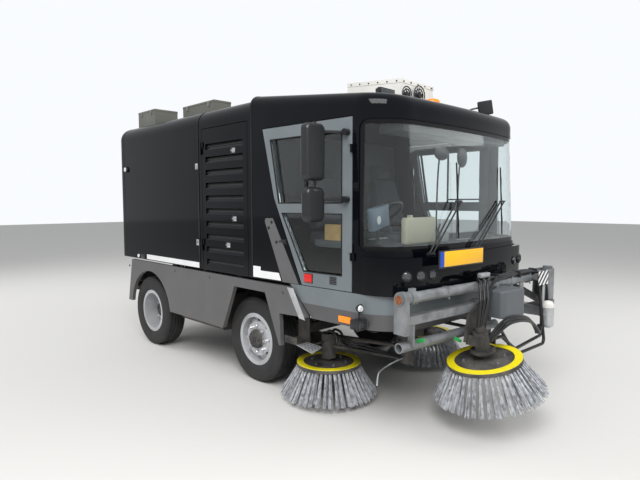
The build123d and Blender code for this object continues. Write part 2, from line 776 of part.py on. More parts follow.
# Dash with steering column and wheel
wheel_centre = Vector(-seat_x, front_axle_y - 1085.0, 1560.0)
column_dir = Vector(0, 0.55, 0.83)
column_length = 330.0
column_r = 34.0
steering_wheel_r = 205.0
steering_rim = 25.0
dash_half = cab_front_half - 180.0
dash_front_y = front_axle_y - 1520.0
dash_low_z = body_bottom_z + cab_floor + seat_gap
dash_edge_z = 1330.0
with BuildPart() as dash:
    profile = [
        (dash_front_y, dash_low_z),
        (dash_front_y + 190.0, dash_low_z),
        (dash_front_y + 290.0, dash_edge_z),
        (dash_front_y + 220.0, dash_edge_z + 65.0),
        (dash_front_y, dash_edge_z),
    ]
    extrude(side_face(profile, -dash_half), amount=2 * dash_half)
    rod(tuple(wheel_centre - column_dir * column_length), tuple(wheel_centre), column_r)
    with BuildSketch(Plane(origin=wheel_centre, z_dir=column_dir)) as wheel_rim:
        Circle(steering_wheel_r)
        Circle(steering_wheel_r - steering_rim, mode=Mode.SUBTRACT)
        Rectangle(2 * steering_wheel_r - 40.0, 36.0)
    extrude(wheel_rim.sketch, amount=24.0)
export(dash, "dash")

# Seats: a cushion and a back that leans, given in side view
cushion_half = 240.0
cushion_y = (front_axle_y - 950.0, front_axle_y - 450.0)
cushion_top_z = 1430.0
back_half = 230.0
back_top_z = 2080.0
seat_back = [
    (front_axle_y - 560.0, cushion_top_z + 1.0),
    (front_axle_y - 440.0, cushion_top_z + 1.0),
    (front_axle_y - 300.0, back_top_z),
    (front_axle_y - 390.0, back_top_z),
]
seat_joint_y = (front_axle_y - 560.0, front_axle_y - 460.0)
for hand, x in (("driver", -seat_x), ("mate", seat_x)):
    with BuildPart() as seat:
        cushion_x = (x - cushion_half, x + cushion_half)
        block(cushion_x, cushion_y, (seat_low_z + seat_gap, cushion_top_z))
        extrude(side_face(seat_back, x - back_half), amount=2 * back_half)
        joint_x = (x - back_half + 30.0, x + back_half - 30.0)
        block(joint_x, seat_joint_y, (cushion_top_z - 30.0, cushion_top_z + 10.0))
    export(seat, f"seat_{hand}")

# Nose panel under the screen with pockets for its lamps, and the bumper bands below it
nose_lamps = (  # x, outward turn in degrees
    (930.0, 42.0),
    (800.0, 26.0),
    (665.0, 14.0),
)
nose_lamp_r = 40.0
nose_lamp_z = 1155.0
nose_lamp_depth = 28.0
lamp_rod_back = 250.0
lamp_rod = 420.0


def nose_lamp_rods(radius):
    """Returns bars through the nose where its lamps sit."""
    with BuildPart() as bars:
        for x, turn in nose_lamps:
            for side in (-1, 1):
                start_x = side * (x - lamp_rod_back * sin(radians(turn)))
                start = Vector(start_x, cab_front_bottom_y + 180.0, nose_lamp_z)
                way = Vector(side * sin(radians(turn)), -cos(radians(turn)), 0)
                rod(tuple(start), tuple(start + way * lamp_rod), radius)
    return bars.part


with BuildPart() as lamp_pockets:
    add(nose_lamp_rods(nose_lamp_r + seat_gap))
    pocket_floor = cab_outline(body_bottom_z, nose_lamp_depth, nose_bulge)
    extrude(pocket_floor, amount=nose_top_z - body_bottom_z, mode=Mode.SUBTRACT)

with BuildPart() as nose_panel:
    extrude(cab_outline(body_bottom_z, -seat_gap, nose_bulge), amount=nose_top_z - body_bottom_z)
    extrude(cab_outline(body_bottom_z, -seat_gap), amount=nose_top_z - body_bottom_z, mode=Mode.SUBTRACT)
    behind_y = (screen_side_y - 30.0, cab_back_y + 100.0)
    block((-reach, reach), behind_y, (body_bottom_z - 1.0, nose_top_z + 1.0), mode=Mode.SUBTRACT)
    add(lamp_pockets.part, mode=Mode.SUBTRACT)
export(nose_panel, "nose_panel")

bands = (  # name, low z, high z
    ("front_band", band_bottom_z, body_bottom_z - seat_gap),
    ("front_bumper", bumper_bottom_z, band_bottom_z - seat_gap),
)
for name, low, high in bands:
    with BuildPart() as band:
        extrude(cab_outline(high), amount=low - high)
        extrude(cab_outline(high, bumper_thick), amount=low - high, mode=Mode.SUBTRACT)
        keep = [
            (cab_front_bottom_y - 100.0, low),
            (skirt_front_y - 15.0 - (skirt_top_z - low), low),
            (skirt_front_y - 15.0 - (skirt_top_z - high), high),
            (cab_front_bottom_y - 100.0, high),
        ]
        extrude(side_face(keep), amount=reach, both=True, mode=Mode.INTERSECT)
    export(band, name)

louvre_head = 220.0
louvre_top_z = roof_top_z - louvre_head

# Engine bay: portal frames and roof between cab and hopper
bay_front_y = cab_back_y + 2.0
bay_length = bay_back_y - cab_back_y - 10.0
with BuildPart() as engine_housing:
    extrude(body_section(bay_front_y), amount=-bay_length)
    extrude(body_section(bay_front_y, wall), amount=-bay_length, mode=Mode.SUBTRACT)
    for side in (-1, 1):
        gate = sorted((side * (body_half - wall - 1.0), side * (body_half + 10.0)))
        gate_y = (cab_back_y + louvre_post, bay_back_y - louvre_post)
        block(gate, gate_y, (body_bottom_z - 5.0, louvre_top_z), mode=Mode.SUBTRACT)
        for z in louvre_hinge_z:
            fixed_barrel((side * louvre_hinge_x, louvre_hinge_y, z), Vector(0, 0, 1))
            leaf = sorted((side * (louvre_hinge_x - louvre_leaf_step), side * louvre_hinge_x))
            block(leaf, (louvre_hinge_y, louvre_hinge_y + hinge_leaf), (z, z + hinge_run))
    bulkhead = (bay_front_y, bay_front_y + 38.0)
    block((-body_half + wall, body_half - wall), bulkhead, (body_bottom_z, louvre_top_z))
    well_half = body_half - 185.0
    well_z = (body_bottom_z - 10.0, body_bottom_z + wall + 10.0)
    block((-well_half, well_half), (cab_back_y + 100.0, bay_back_y - 100.0), well_z, mode=Mode.SUBTRACT)
export(engine_housing, "engine_housing")

# Louvred side doors of the engine bay
louvres = 10
louvre_pitch = 125.0
louvre_low_z = 1062.0
louvre_high = 60.0
louvre_deep = 34.0
louvre_side = 120.0
with BuildPart() as louvre_door:
    block(
        (-body_half, -body_half + wall - 1.5),
        (cab_back_y + louvre_post + panel_gap, bay_back_y - louvre_post - panel_gap),
        (body_bottom_z, louvre_top_z - panel_gap),
    )
    for row in range(louvres):
        z = louvre_low_z + row * louvre_pitch
        wedge = [
            (-body_half - 1.0, z),
            (-body_half - 1.0, z + louvre_high),
            (-body_half + louvre_deep, z + louvre_high),
        ]
        extrude(
            front_face(wedge, cab_back_y + louvre_side),
            amount=-(bay_back_y - cab_back_y - 2 * louvre_side),
            mode=Mode.SUBTRACT,
        )
    for z in louvre_hinge_z:
        start = (-louvre_hinge_x, louvre_hinge_y, z)
        moving_barrel(start, Vector(0, 0, 1))
        block(
            (-louvre_hinge_x, -louvre_hinge_x + louvre_leaf_step),
            (louvre_hinge_y - hinge_leaf, louvre_hinge_y),
            (z + hinge_run + seat_gap, z + 2 * hinge_run),
        )
        moving_bore(start, Vector(0, 0, 1))
export_pair(louvre_door, "louvre_door")

# Hopper shell, open at the tail, with its pivot lugs and pins and its ram lugs and pins
hopper_front_y = bay_back_y + 8.0
hopper_length = hopper_back_y - hopper_front_y
lug_r = 55.0
lug_thick = 18.0
ram_lug_x = 46.0
ram_lug_out = ram_lug_x + lug_thick / 2
ram_head_x = ram_lug_out + 10.0
lugs = (  # middle x, y, z
    (rail_x - 14.0, tip_pivot_y, tip_pivot_z),
    (ram_x - ram_lug_x, ram_eye_y, ram_eye_z),
    (ram_x + ram_lug_x, ram_eye_y, ram_eye_z),
)
with BuildPart() as hopper_shell:
    extrude(body_section(hopper_front_y), amount=-hopper_length)
    extrude(body_section(hopper_front_y + wall, wall), amount=-hopper_length, mode=Mode.SUBTRACT)
    for side in (-1, 1):
        for middle_x, y, z in lugs:
            with BuildSketch(Plane.YZ.offset(side * middle_x - lug_thick / 2)) as lug:
                with Locations((y, z)):
                    Circle(lug_r)
                with Locations((y, (z + body_bottom_z) / 2 + 5.0)):
                    Rectangle(2 * lug_r, body_bottom_z - z + 10.0)
            extrude(lug.sketch, amount=lug_thick)
        rod(
            (side * (rail_x - 20.0), tip_pivot_y, tip_pivot_z),
            (side * (rail_x + rail_width), tip_pivot_y, tip_pivot_z),
            tip_pin_r,
        )
        for inner, outer in ((-ram_head_x, -ram_lug_out), (ram_lug_out, ram_head_x)):
            rod(
                (side * (ram_x + inner), ram_eye_y, ram_eye_z),
                (side * (ram_x + outer), ram_eye_y, ram_eye_z),
                ram_pin_r + 6.0,
            )
    for x in tail_hinge_x:
        fixed_barrel((x, tail_hinge_y, tail_hinge_z), Vector(1, 0, 0))
        leaf_y = (tail_hinge_y - hinge_leaf, tail_hinge_y)
        block((x, x + hinge_run), leaf_y, (tail_hinge_z - tail_leaf, tail_hinge_z))
export(hopper_shell, "hopper_shell")

# Air boxes on the hopper's roof
with BuildPart() as hopper_solid:
    extrude(body_section(hopper_front_y, -seat_gap), amount=-hopper_length)

roof_box_plans = (  # from x, to x, from y, to y
    (-890.0, -590.0, front_axle_y + 2010.0, front_axle_y + 2440.0),
    (-690.0, -470.0, front_axle_y + 1040.0, front_axle_y + 1700.0),
)
roof_box_top_z = roof_top_z + 175.0
with BuildPart() as roof_boxes:
    for from_x, to_x, from_y, to_y in roof_box_plans:
        block((from_x, to_x), (from_y, to_y), (shoulder_z - 60.0, roof_box_top_z))
    add(hopper_solid.part, mode=Mode.SUBTRACT)
export(roof_boxes, "roof_boxes")

# Hopper tail door, a hollow pan with round edges
door_seam_y = hopper_back_y + panel_gap
with BuildPart() as hopper_door:
    extrude(body_section(door_seam_y), amount=-(tail_y - door_seam_y))
    fillet(hopper_door.faces().sort_by(Axis.Y)[-1].edges(), 90.0)
    extrude(body_section(door_seam_y, wall), amount=-(tail_y - door_seam_y - wall), mode=Mode.SUBTRACT)
    for x in tail_hinge_x:
        start = (x, tail_hinge_y, tail_hinge_z)
        moving_barrel(start, Vector(1, 0, 0))
        block(
            (x + hinge_run + seat_gap, x + 2 * hinge_run),
            (tail_hinge_y, tail_hinge_y + hinge_leaf),
            (tail_hinge_z - tail_leaf, tail_hinge_z),
        )
        moving_bore(start, Vector(1, 0, 0))
export(hopper_door, "hopper_door")

# Tipping rams: barrels hinged on the chassis, rods that push the hopper
ram_run = Vector(0, ram_eye_y - ram_base_y, ram_eye_z - ram_base_z)
ram_dir = ram_run.normalized()
ram_mouth = ram_run.length - 62.0
ram_boss_r = 38.0
ram_boss_half = 32.0
with BuildPart() as ram_barrels:
    for side in (-1, 1):
        base = Vector(side * ram_x, ram_base_y, ram_base_z)
        rod(tuple(base - Vector(ram_r, 0, 0)), tuple(base + Vector(ram_r, 0, 0)), ram_boss_r)
        rod(tuple(base + ram_dir * 20.0), tuple(base + ram_dir * ram_mouth), ram_r)
        rod(
            tuple(base - Vector(2 * ram_r, 0, 0)),
            tuple(base + Vector(2 * ram_r, 0, 0)),
            ram_pin_r + shaft_gap,
            mode=Mode.SUBTRACT,
        )
        rod(
            tuple(base + ram_dir * 50.0),
            tuple(base + ram_dir * ram_mouth),
            ram_rod_r + shaft_gap,
            mode=Mode.SUBTRACT,
        )
export(ram_barrels, "ram_barrels")

with BuildPart() as ram_rods:
    for side in (-1, 1):
        base = Vector(side * ram_x, ram_base_y, ram_base_z)
        eye = base + ram_run
        rod(tuple(base + ram_dir * 55.0), tuple(eye), ram_rod_r)
        rod(tuple(eye - Vector(ram_boss_half, 0, 0)), tuple(eye + Vector(ram_boss_half, 0, 0)), ram_boss_r)
        pin_half = Vector(ram_boss_half + 2.0, 0, 0)
        rod(tuple(eye - pin_half), tuple(eye + pin_half), ram_pin_r)
export(ram_rods, "ram_rods")

# Side tanks between the wheels, suction mouth and its duct
tank_x = (640.0, 1000.0)
tank_y = (front_axle_y + 470.0, front_axle_y + 1260.0)
tank_low_z = 400.0
tank_edge_r = 40.0
with BuildPart() as side_tanks:
    for side in (-1, 1):
        x = sorted((side * tank_x[0], side * tank_x[1]))
        block(x, tank_y, (tank_low_z, tank_top_z))
    fillet(side_tanks.edges().filter_by(Axis.Y), tank_edge_r)
export(side_tanks, "side_tanks")

mouth_low_z = 35.0
mouth_high_z = 260.0
mouth_corner_r = 60.0
mouth_width = 1150.0
mouth_length = 420.0
duct_width = 400.0
duct_length = 280.0
duct_y = duct_front_y + duct_length / 2
with BuildPart() as suction_mouth:
    with BuildSketch(Plane.XY.offset(mouth_low_z)) as mouth:
        with Locations((0, duct_y - 20.0)):
            RectangleRounded(mouth_width, mouth_length, mouth_corner_r)
    with BuildSketch(Plane.XY.offset(mouth_high_z)) as throat:
        with Locations((0, duct_y)):
            RectangleRounded(duct_width + 20.0, duct_length + 20.0, mouth_corner_r)
    loft([mouth.sketch, throat.sketch])
    with BuildSketch(Plane.XY.offset(mouth_high_z)) as duct:
        with Locations((0, duct_y)):
            RectangleRounded(duct_width, duct_length, mouth_corner_r)
    extrude(duct.sketch, amount=rail_high_z - mouth_high_z)
export(suction_mouth, "suction_mouth")

# Rear bumper with its brackets
tow_hole_r = 20.0
tow_lug_r = 38.0
tow_lug_z = 600.0
tow_lug_thick = 30.0
tow_hole_y = bumper_back_y + tow_lug_r
bumper_low_z = 560.0
with BuildPart() as rear_bumper:
    bumper_y = (chassis_tail_y + seat_gap, bumper_back_y)
    block((-bumper_half, bumper_half), bumper_y, (bumper_low_z, rail_high_z))
    fillet(rear_bumper.edges().filter_by(Axis.Z), 50.0)
    with BuildSketch(Plane.XY.offset(tow_lug_z)) as tow_lug:
        with Locations((0, tow_hole_y)):
            Circle(tow_lug_r)
        with Locations((0, (bumper_back_y + tow_hole_y) / 2 - 10.0)):
            Rectangle(2 * tow_lug_r, tow_hole_y - bumper_back_y + 20.0)
        with Locations((0, tow_hole_y)):
            Circle(tow_hole_r, mode=Mode.SUBTRACT)
    extrude(tow_lug.sketch, amount=tow_lug_thick)
export(rear_bumper, "rear_bumper")

# Air conditioner, beacon and lamps
beacon_x = 100.0
beacon_y = front_axle_y - 1215.0
beacon_r = 75.0
beacon_top_z = roof_top_z - 32.0
ac_x = (-205.0, 281.0)
ac_y = (front_axle_y - 1100.0, front_axle_y - 480.0)
ac_high_z = (roof_top_z + 115.0, roof_top_z + 170.0)
tail_lamp_x = (760.0, 910.0)
tail_lamp_z = (600.0, 760.0)
tail_lamp_thick = 20.0
with BuildPart() as ac_unit:
    case = [
        (ac_y[0], eave_z),
        (ac_y[1], eave_z),
        (ac_y[1], ac_high_z[1]),
        (ac_y[0], ac_high_z[0]),
    ]
    extrude(side_face(case, ac_x[0]), amount=ac_x[1] - ac_x[0])
    add(roof_block(0.0, -seat_gap), mode=Mode.SUBTRACT)
export(ac_unit, "ac_unit")

with BuildPart() as lamps:
    add(nose_lamp_rods(nose_lamp_r))
    lens_front = cab_outline(body_bottom_z, -8.0, nose_bulge)
    extrude(lens_front, amount=nose_top_z - body_bottom_z, mode=Mode.INTERSECT)
    lens_back = cab_outline(body_bottom_z, nose_lamp_depth - seat_gap, nose_bulge)
    extrude(lens_back, amount=nose_top_z - body_bottom_z, mode=Mode.SUBTRACT)
    rod((beacon_x, beacon_y, eave_z), (beacon_x, beacon_y, beacon_top_z), beacon_r)
    add(roof_block(0.0, -seat_gap), mode=Mode.SUBTRACT)
    for side in (-1, 1):
        x = sorted((side * tail_lamp_x[0], side * tail_lamp_x[1]))
        block(x, (bumper_back_y + seat_gap, bumper_back_y + tail_lamp_thick), tail_lamp_z)
export(lamps, "lamps")

# Wipers, each two arms on a foot on the nose ledge, with the blade they hold
wiper_runs = (  # foot x, tip x, tip z
    (-300.0, -120.0, 1780.0),
    (330.0, 560.0, 1860.0),
)
wiper_foot_y = cab_front_bottom_y - 30.0
wiper_foot = 20.0
wiper_arm_gap = 46.0
wiper_arm_r = 7.0
blade_r = 8.0
blade_half = Vector(0, 17.0, 300.0)
with BuildPart() as wipers:
    for foot_x, tip_x, tip_z in wiper_runs:
        foot_span = (foot_x - wiper_foot, foot_x + wiper_arm_gap + wiper_foot)
        foot_deep = (wiper_foot_y - 15.0, wiper_foot_y + 15.0)
        block(foot_span, foot_deep, (nose_top_z + seat_gap, nose_top_z + 34.0))
        tip = Vector(tip_x, cab_front_top_y - 31.0, tip_z)
        for x in (0.0, wiper_arm_gap):
            end = tuple(tip + Vector(x, 0, 0))
            rod((foot_x + x, wiper_foot_y, nose_top_z + 26.0), end, wiper_arm_r)
        tie_end = Vector(wiper_arm_gap + blade_r, 0, 0)
        rod(tuple(tip - Vector(blade_r, 0, 0)), tuple(tip + tie_end), wiper_arm_r + 3.0)
        rod(tuple(tip - blade_half), tuple(tip + blade_half), blade_r)
export(wipers, "wipers")


# Brushes: plate, ring, hub and two rows of flaring tufts, made once and placed three times
spindle_r = 18.0
brush_hub_r = 70.0
brush_hub = 30.0
tuft_rows = (  # count, root radius, tip radius, width
    (tufts_outer, brush_plate_r - 16.0, brush_tip_r, 30.0),
    (tufts_inner, brush_plate_r - 70.0, brush_tip_r - 120.0, 34.0),
)
tuft_root = 18.0
tuft_tip = 10.0
tuft_flare = 1.25
with BuildPart() as reel:
    with BuildSketch(Plane.XY.offset(-brush_plate)):
        Circle(brush_plate_r)
    extrude(amount=brush_plate)
    with BuildSketch():
        Circle(brush_plate_r)
        Circle(brush_ring_inner_r, mode=Mode.SUBTRACT)
    extrude(amount=brush_ring)
    with BuildSketch():
        Circle(brush_hub_r)
    extrude(amount=brush_hub)
    with BuildSketch(Plane.XY.offset(-brush_plate)):
        Circle(spindle_r + shaft_gap)
    extrude(amount=brush_plate + 2 * brush_hub, mode=Mode.SUBTRACT)
    for count, root_r, tip_r, width in tuft_rows:
        with BuildPart() as tuft:
            with BuildSketch(Plane.XY.offset(-brush_plate + 2.0)):
                with Locations((root_r, 0)):
                    Rectangle(tuft_root, width)
            with BuildSketch(Plane.XY.offset(-brush_drop)):
                with Locations((tip_r - tuft_tip / 2, 0)):
                    Rectangle(tuft_tip, width * tuft_flare)
            loft()
        with PolarLocations(0, count):
            add(tuft.part)

# Side brushes and their trailing arms
side_plane = Plane((-side_brush_x, side_brush_y, side_brush_z))
with BuildPart() as side_brush:
    add(side_plane.location * reel.part)
export_pair(side_brush, "brush")

arm_tube_r = 17.0
arm_tube_z = (470.0, 560.0)
arm_tube_drop = 20.0
side_motor_r = 62.0
side_motor_high_z = 560.0
with BuildPart() as brush_arm:
    pivot = (-arm_pivot_x, arm_pivot_y)
    spindle = (-side_brush_x, side_brush_y)
    rod((*pivot, arm_pin_low_z + 10.0), (*pivot, rail_low_z - 4.0), arm_boss_r)
    rod((*pivot, arm_pin_low_z), (*pivot, rail_low_z), arm_pin_r + shaft_gap, mode=Mode.SUBTRACT)
    for z in arm_tube_z:
        rod((pivot[0], pivot[1] + 30.0, z), (*spindle, z - arm_tube_drop), arm_tube_r)
    rod((*spindle, side_brush_z + brush_hub + 6.0), (*spindle, side_motor_high_z), side_motor_r)
    rod((*spindle, side_brush_z - 10.0), (*spindle, side_motor_high_z), spindle_r)
export_pair(brush_arm, "brush_arm")

# Bracket that carries the boom
bracket_y = chassis_front_y + 120.0
bracket_low_z = 645.0
bracket_high_z = 735.0
bracket_top_z = 800.0
bracket_beam_y = (bracket_y, bracket_y + 80.0)
bracket_out_x = boom_x + 60.0
bracket_boss_r = 64.0
post_pin_r = 30.0
cap_z = (boom_z + 56.0, boom_z + 74.0)
web_thick = 12.0
with BuildPart() as boom_bracket:
    beam_z = (bracket_low_z, bracket_high_z - 5.0)
    block((rail_x + rail_width, bracket_out_x), bracket_beam_y, beam_z)
    tongue_y = (boom_y, bracket_beam_y[1])
    block((boom_x - 45.0, bracket_out_x), tongue_y, (bracket_low_z, bracket_high_z))
    rod((boom_x, boom_y, bracket_low_z - 5.0), (boom_x, boom_y, bracket_top_z), bracket_boss_r)
    rod((boom_x, boom_y, bracket_top_z), (boom_x, boom_y, cap_z[1] - 4.0), post_pin_r)
    rod((boom_x, boom_y, cap_z[0]), (boom_x, boom_y, cap_z[1]), post_pin_r + 12.0)
    web = [
        (boom_y + 40.0, bracket_high_z),
        (boom_y + 190.0, bracket_high_z),
        (boom_y + 40.0, bracket_top_z - 5.0),
    ]
    extrude(side_face(web, boom_x - web_thick / 2), amount=web_thick)
export(boom_bracket, "boom_bracket")

# Swivelling post of the boom, with the pins of the arm and of its lift ram
lift_base = Vector(boom_lift_x - 15.0, boom_y, boom_z - 230.0)
lift_eye = Vector(boom_lift_x - 400.0, boom_y, boom_z - 70.0)
lift_pin_r = 11.0
boom_pin_r = 16.0
plate_gap = 46.0
plate_thick = 16.0
post_low_z = bracket_top_z + 1.0
post_high_z = boom_z + 55.0
post_r = 52.0
with BuildPart() as boom_post:
    rod((boom_x, boom_y, post_low_z), (boom_x, boom_y, post_high_z), post_r)
    rod(
        (boom_x, boom_y, post_low_z - 10.0),
        (boom_x, boom_y, post_high_z + 10.0),
        post_pin_r + shaft_gap,
        mode=Mode.SUBTRACT,
    )
    for y in (boom_y - plate_gap - plate_thick, boom_y + plate_gap):
        plate = [
            (boom_x, post_low_z + 14.0),
            (boom_x, post_high_z),
            (boom_lift_x - 35.0, post_high_z),
            (boom_lift_x - 50.0, post_low_z + 14.0),
        ]
        extrude(front_face(plate, y), amount=-plate_thick)
    reach_y = plate_gap + plate_thick
    rod((boom_lift_x, boom_y - reach_y, boom_z), (boom_lift_x, boom_y + reach_y, boom_z), boom_pin_r)
    rod(
        tuple(lift_base - Vector(0, reach_y, 0)),
        tuple(lift_base + Vector(0, reach_y, 0)),
        lift_pin_r,
    )
export_turned(boom_post, "boom_post")

# Boom arm: main tube with its clamp, end plate, the square link that comes back to the brush,
# the guard tube, and the blocks that the cover and the hoses sit on
link_half = link_side / 2
tube_wall = 8.0
knuckle_half = 40.0
clamp_x = (boom_end_x + 105.0, boom_end_x + 165.0)
clamp_ear = 7.0
clamp_ear_half = 14.0
clamp_top_z = boom_z + boom_tube_r + 28.0
end_plate_x = boom_end_x + 12.0
end_plate_thick = 42.0
end_plate_half = 52.0
end_plate_drop = 90.0
clasp_x = (link_end_x - 85.0, link_end_x - 12.0)
clasp_wall = 12.0
guard_x = (boom_end_x + 48.0, link_end_x + 250.0)
guard_hangers = (boom_end_x + 140.0, boom_end_x + 840.0)
guard_hanger = 20.0
lift_ears = (boom_y - 37.0, boom_y + 25.0)
lift_ear = 12.0
lift_ear_half = 26.0
manifold_x = boom_lift_x - 150.0
manifold_half = 50.0
manifold_y = (boom_y - 96.0, boom_y - 20.0)
manifold_low_z = boom_z - 20.0
cover_lug_x = link_end_x + 170.0
cover_lug_half = 20.0
with BuildPart() as boom_arm:
    rod((boom_lift_x - knuckle_half, boom_y, boom_z), (boom_end_x, boom_y, boom_z), boom_tube_r)
    block(
        (boom_lift_x - knuckle_half - 5.0, boom_lift_x),
        (boom_y - knuckle_half, boom_y + knuckle_half),
        (boom_z - knuckle_half, boom_z + knuckle_half),
    )
    rod(
        (boom_lift_x, boom_y - knuckle_half, boom_z),
        (boom_lift_x, boom_y + knuckle_half, boom_z),
        knuckle_half,
    )
    rod(
        (boom_lift_x, boom_y - knuckle_half - 10.0, boom_z),
        (boom_lift_x, boom_y + knuckle_half + 10.0, boom_z),
        boom_pin_r + shaft_gap,
        mode=Mode.SUBTRACT,
    )
    rod(
        (boom_end_x, boom_y, boom_z),
        (boom_end_x + 60.0, boom_y, boom_z),
        boom_tube_r - tube_wall,
        mode=Mode.SUBTRACT,
    )
    rod((clamp_x[0], boom_y, boom_z), (clamp_x[1], boom_y, boom_z), boom_tube_r + tube_wall + 1.0)
    block(
        (clamp_x[0] + clamp_ear, clamp_x[1] - clamp_ear),
        (boom_y - clamp_ear_half, boom_y + clamp_ear_half),
        (boom_z, clamp_top_z),
    )
    with BuildSketch(Plane.YZ.offset(end_plate_x)) as end_plate:
        with Locations((boom_y, (boom_z + link_z - end_plate_drop) / 2)):
            Rectangle(2 * end_plate_half, boom_z - link_z + end_plate_drop)
        with Locations((boom_y, boom_z)):
            Circle(end_plate_half)
            Circle(boom_tube_r - tube_wall, mode=Mode.SUBTRACT)
    extrude(end_plate.sketch, amount=end_plate_thick)
    link_y = (boom_y - link_half, boom_y + link_half)
    block((end_plate_x + 38.0, link_end_x), link_y, (link_z - link_half, link_z + link_half))
    clasp_y = (link_y[0] - clasp_wall, link_y[1] + clasp_wall)
    clasp_z = (link_z - link_half - clasp_wall, link_z + link_half + 1.5 * clasp_wall)
    block(clasp_x, clasp_y, clasp_z)
    for x in guard_hangers:
        block((x, x + guard_hanger), (boom_y - 8.0, guard_y), (guard_z, link_z))
    rod((guard_x[0], guard_y, guard_z), (guard_x[1], guard_y, guard_z), guard_r)
    rod(
        (guard_x[0], guard_y, guard_z),
        (guard_x[0] + 82.0, guard_y, guard_z),
        guard_r - tube_wall + 1.0,
        mode=Mode.SUBTRACT,
    )
    for y in lift_ears:
        block(
            (lift_eye.X - lift_ear_half, lift_eye.X + lift_ear_half),
            (y, y + lift_ear),
            (lift_eye.Z - lift_ear_half, boom_z - 20.0),
        )
    lift_pin = Vector(0, 30.0, 0)
    rod(tuple(lift_eye - lift_pin), tuple(lift_eye + lift_pin), lift_pin_r)
    cover_lug = (cover_lug_x - cover_lug_half, cover_lug_x + cover_lug_half)
    block(cover_lug, (boom_y - boom_tube_r, boom_y), (boom_z - 75.0, boom_z))
    manifold = (manifold_x - manifold_half, manifold_x + manifold_half)
    block(manifold, manifold_y, (manifold_low_z, boom_z + 35.0))
export_turned(boom_arm, "boom_arm")

# Cover of the boom's valves
cover_x = (link_end_x + 10.0, link_end_x + 330.0)
cover_deep = 150.0
cover_z = (boom_z - 240.0, boom_z - 30.0)
cover_corner_r = 42.0
with BuildPart() as boom_box:
    cover_back_y = boom_y - boom_tube_r - seat_gap
    block(cover_x, (cover_back_y - cover_deep, cover_back_y), cover_z)
    fillet(boom_box.edges().filter_by(Axis.Z).sort_by(Axis.Y)[:2], cover_corner_r)
    fillet(boom_box.faces().sort_by(Axis.Z)[-1].edges(), 14.0)
export_turned(boom_box, "boom_box")

# Brush head under the link: hanger plates, motor with its flange and ports, and drive shaft
front_plane = Plane(origin=(front_brush_x, front_brush_y, front_brush_z), z_dir=front_brush_axis)
spin_dir = front_plane.z_dir
motor_r = 58.0
motor_low = 36.0
motor_top = 215.0
flange_r = 92.0
flange_low = 60.0
flange_thick = 18.0
motor_neck_r = 37.0
motor_neck = 40.0
hub = Vector(front_brush_x, front_brush_y, front_brush_z)
shelf_z = 668.0
shelf_thick = 28.0
hanger_thick = 20.0
shelf_x = (front_brush_x - 80.0, front_brush_x + 60.0)
cheek = 12.0
cheek_x = 76.0
hanger_foot_z = link_z - 46.0
with BuildPart() as boom_head:
    flange_high = flange_low + flange_thick
    rod(tuple(hub + spin_dir * motor_low), tuple(hub + spin_dir * motor_top), motor_r)
    rod(tuple(hub + spin_dir * flange_low), tuple(hub + spin_dir * flange_high), flange_r)
    neck_low = hub + spin_dir * (motor_top - 5.0)
    rod(tuple(neck_low), tuple(hub + spin_dir * (motor_top + motor_neck)), motor_neck_r)
    rod(tuple(hub + spin_dir * -10.0), tuple(hub + spin_dir * (motor_low + 4.0)), spindle_r)
    hanger = [
        (clasp_x[1], link_z + 42.0),
        (clasp_x[1], hanger_foot_z),
        (link_end_x - 170.0, shelf_z - shelf_thick),
        (link_end_x - 290.0, shelf_z - shelf_thick),
        (link_end_x - 250.0, hanger_foot_z),
        (clasp_x[0] - 3.0, link_z + 42.0),
    ]
    hanger_y = boom_y - link_half - clasp_wall - seat_gap
    extrude(front_face(hanger, hanger_y), amount=hanger_thick)
    block(shelf_x, (front_brush_y - 30.0, hanger_y), (shelf_z - shelf_thick, shelf_z))
    for x in (-1, 1):
        cheek_span = sorted((front_brush_x + x * (cheek_x + cheek), front_brush_x + x * cheek_x))
        block(cheek_span, (front_brush_y - 40.0, hanger_y), (shelf_z - 52.0, shelf_z + 24.0))
export_turned(boom_head, "boom_head")

with BuildPart() as front_brush:
    add(front_plane.location * reel.part)
export_turned(front_brush, "brush_front")

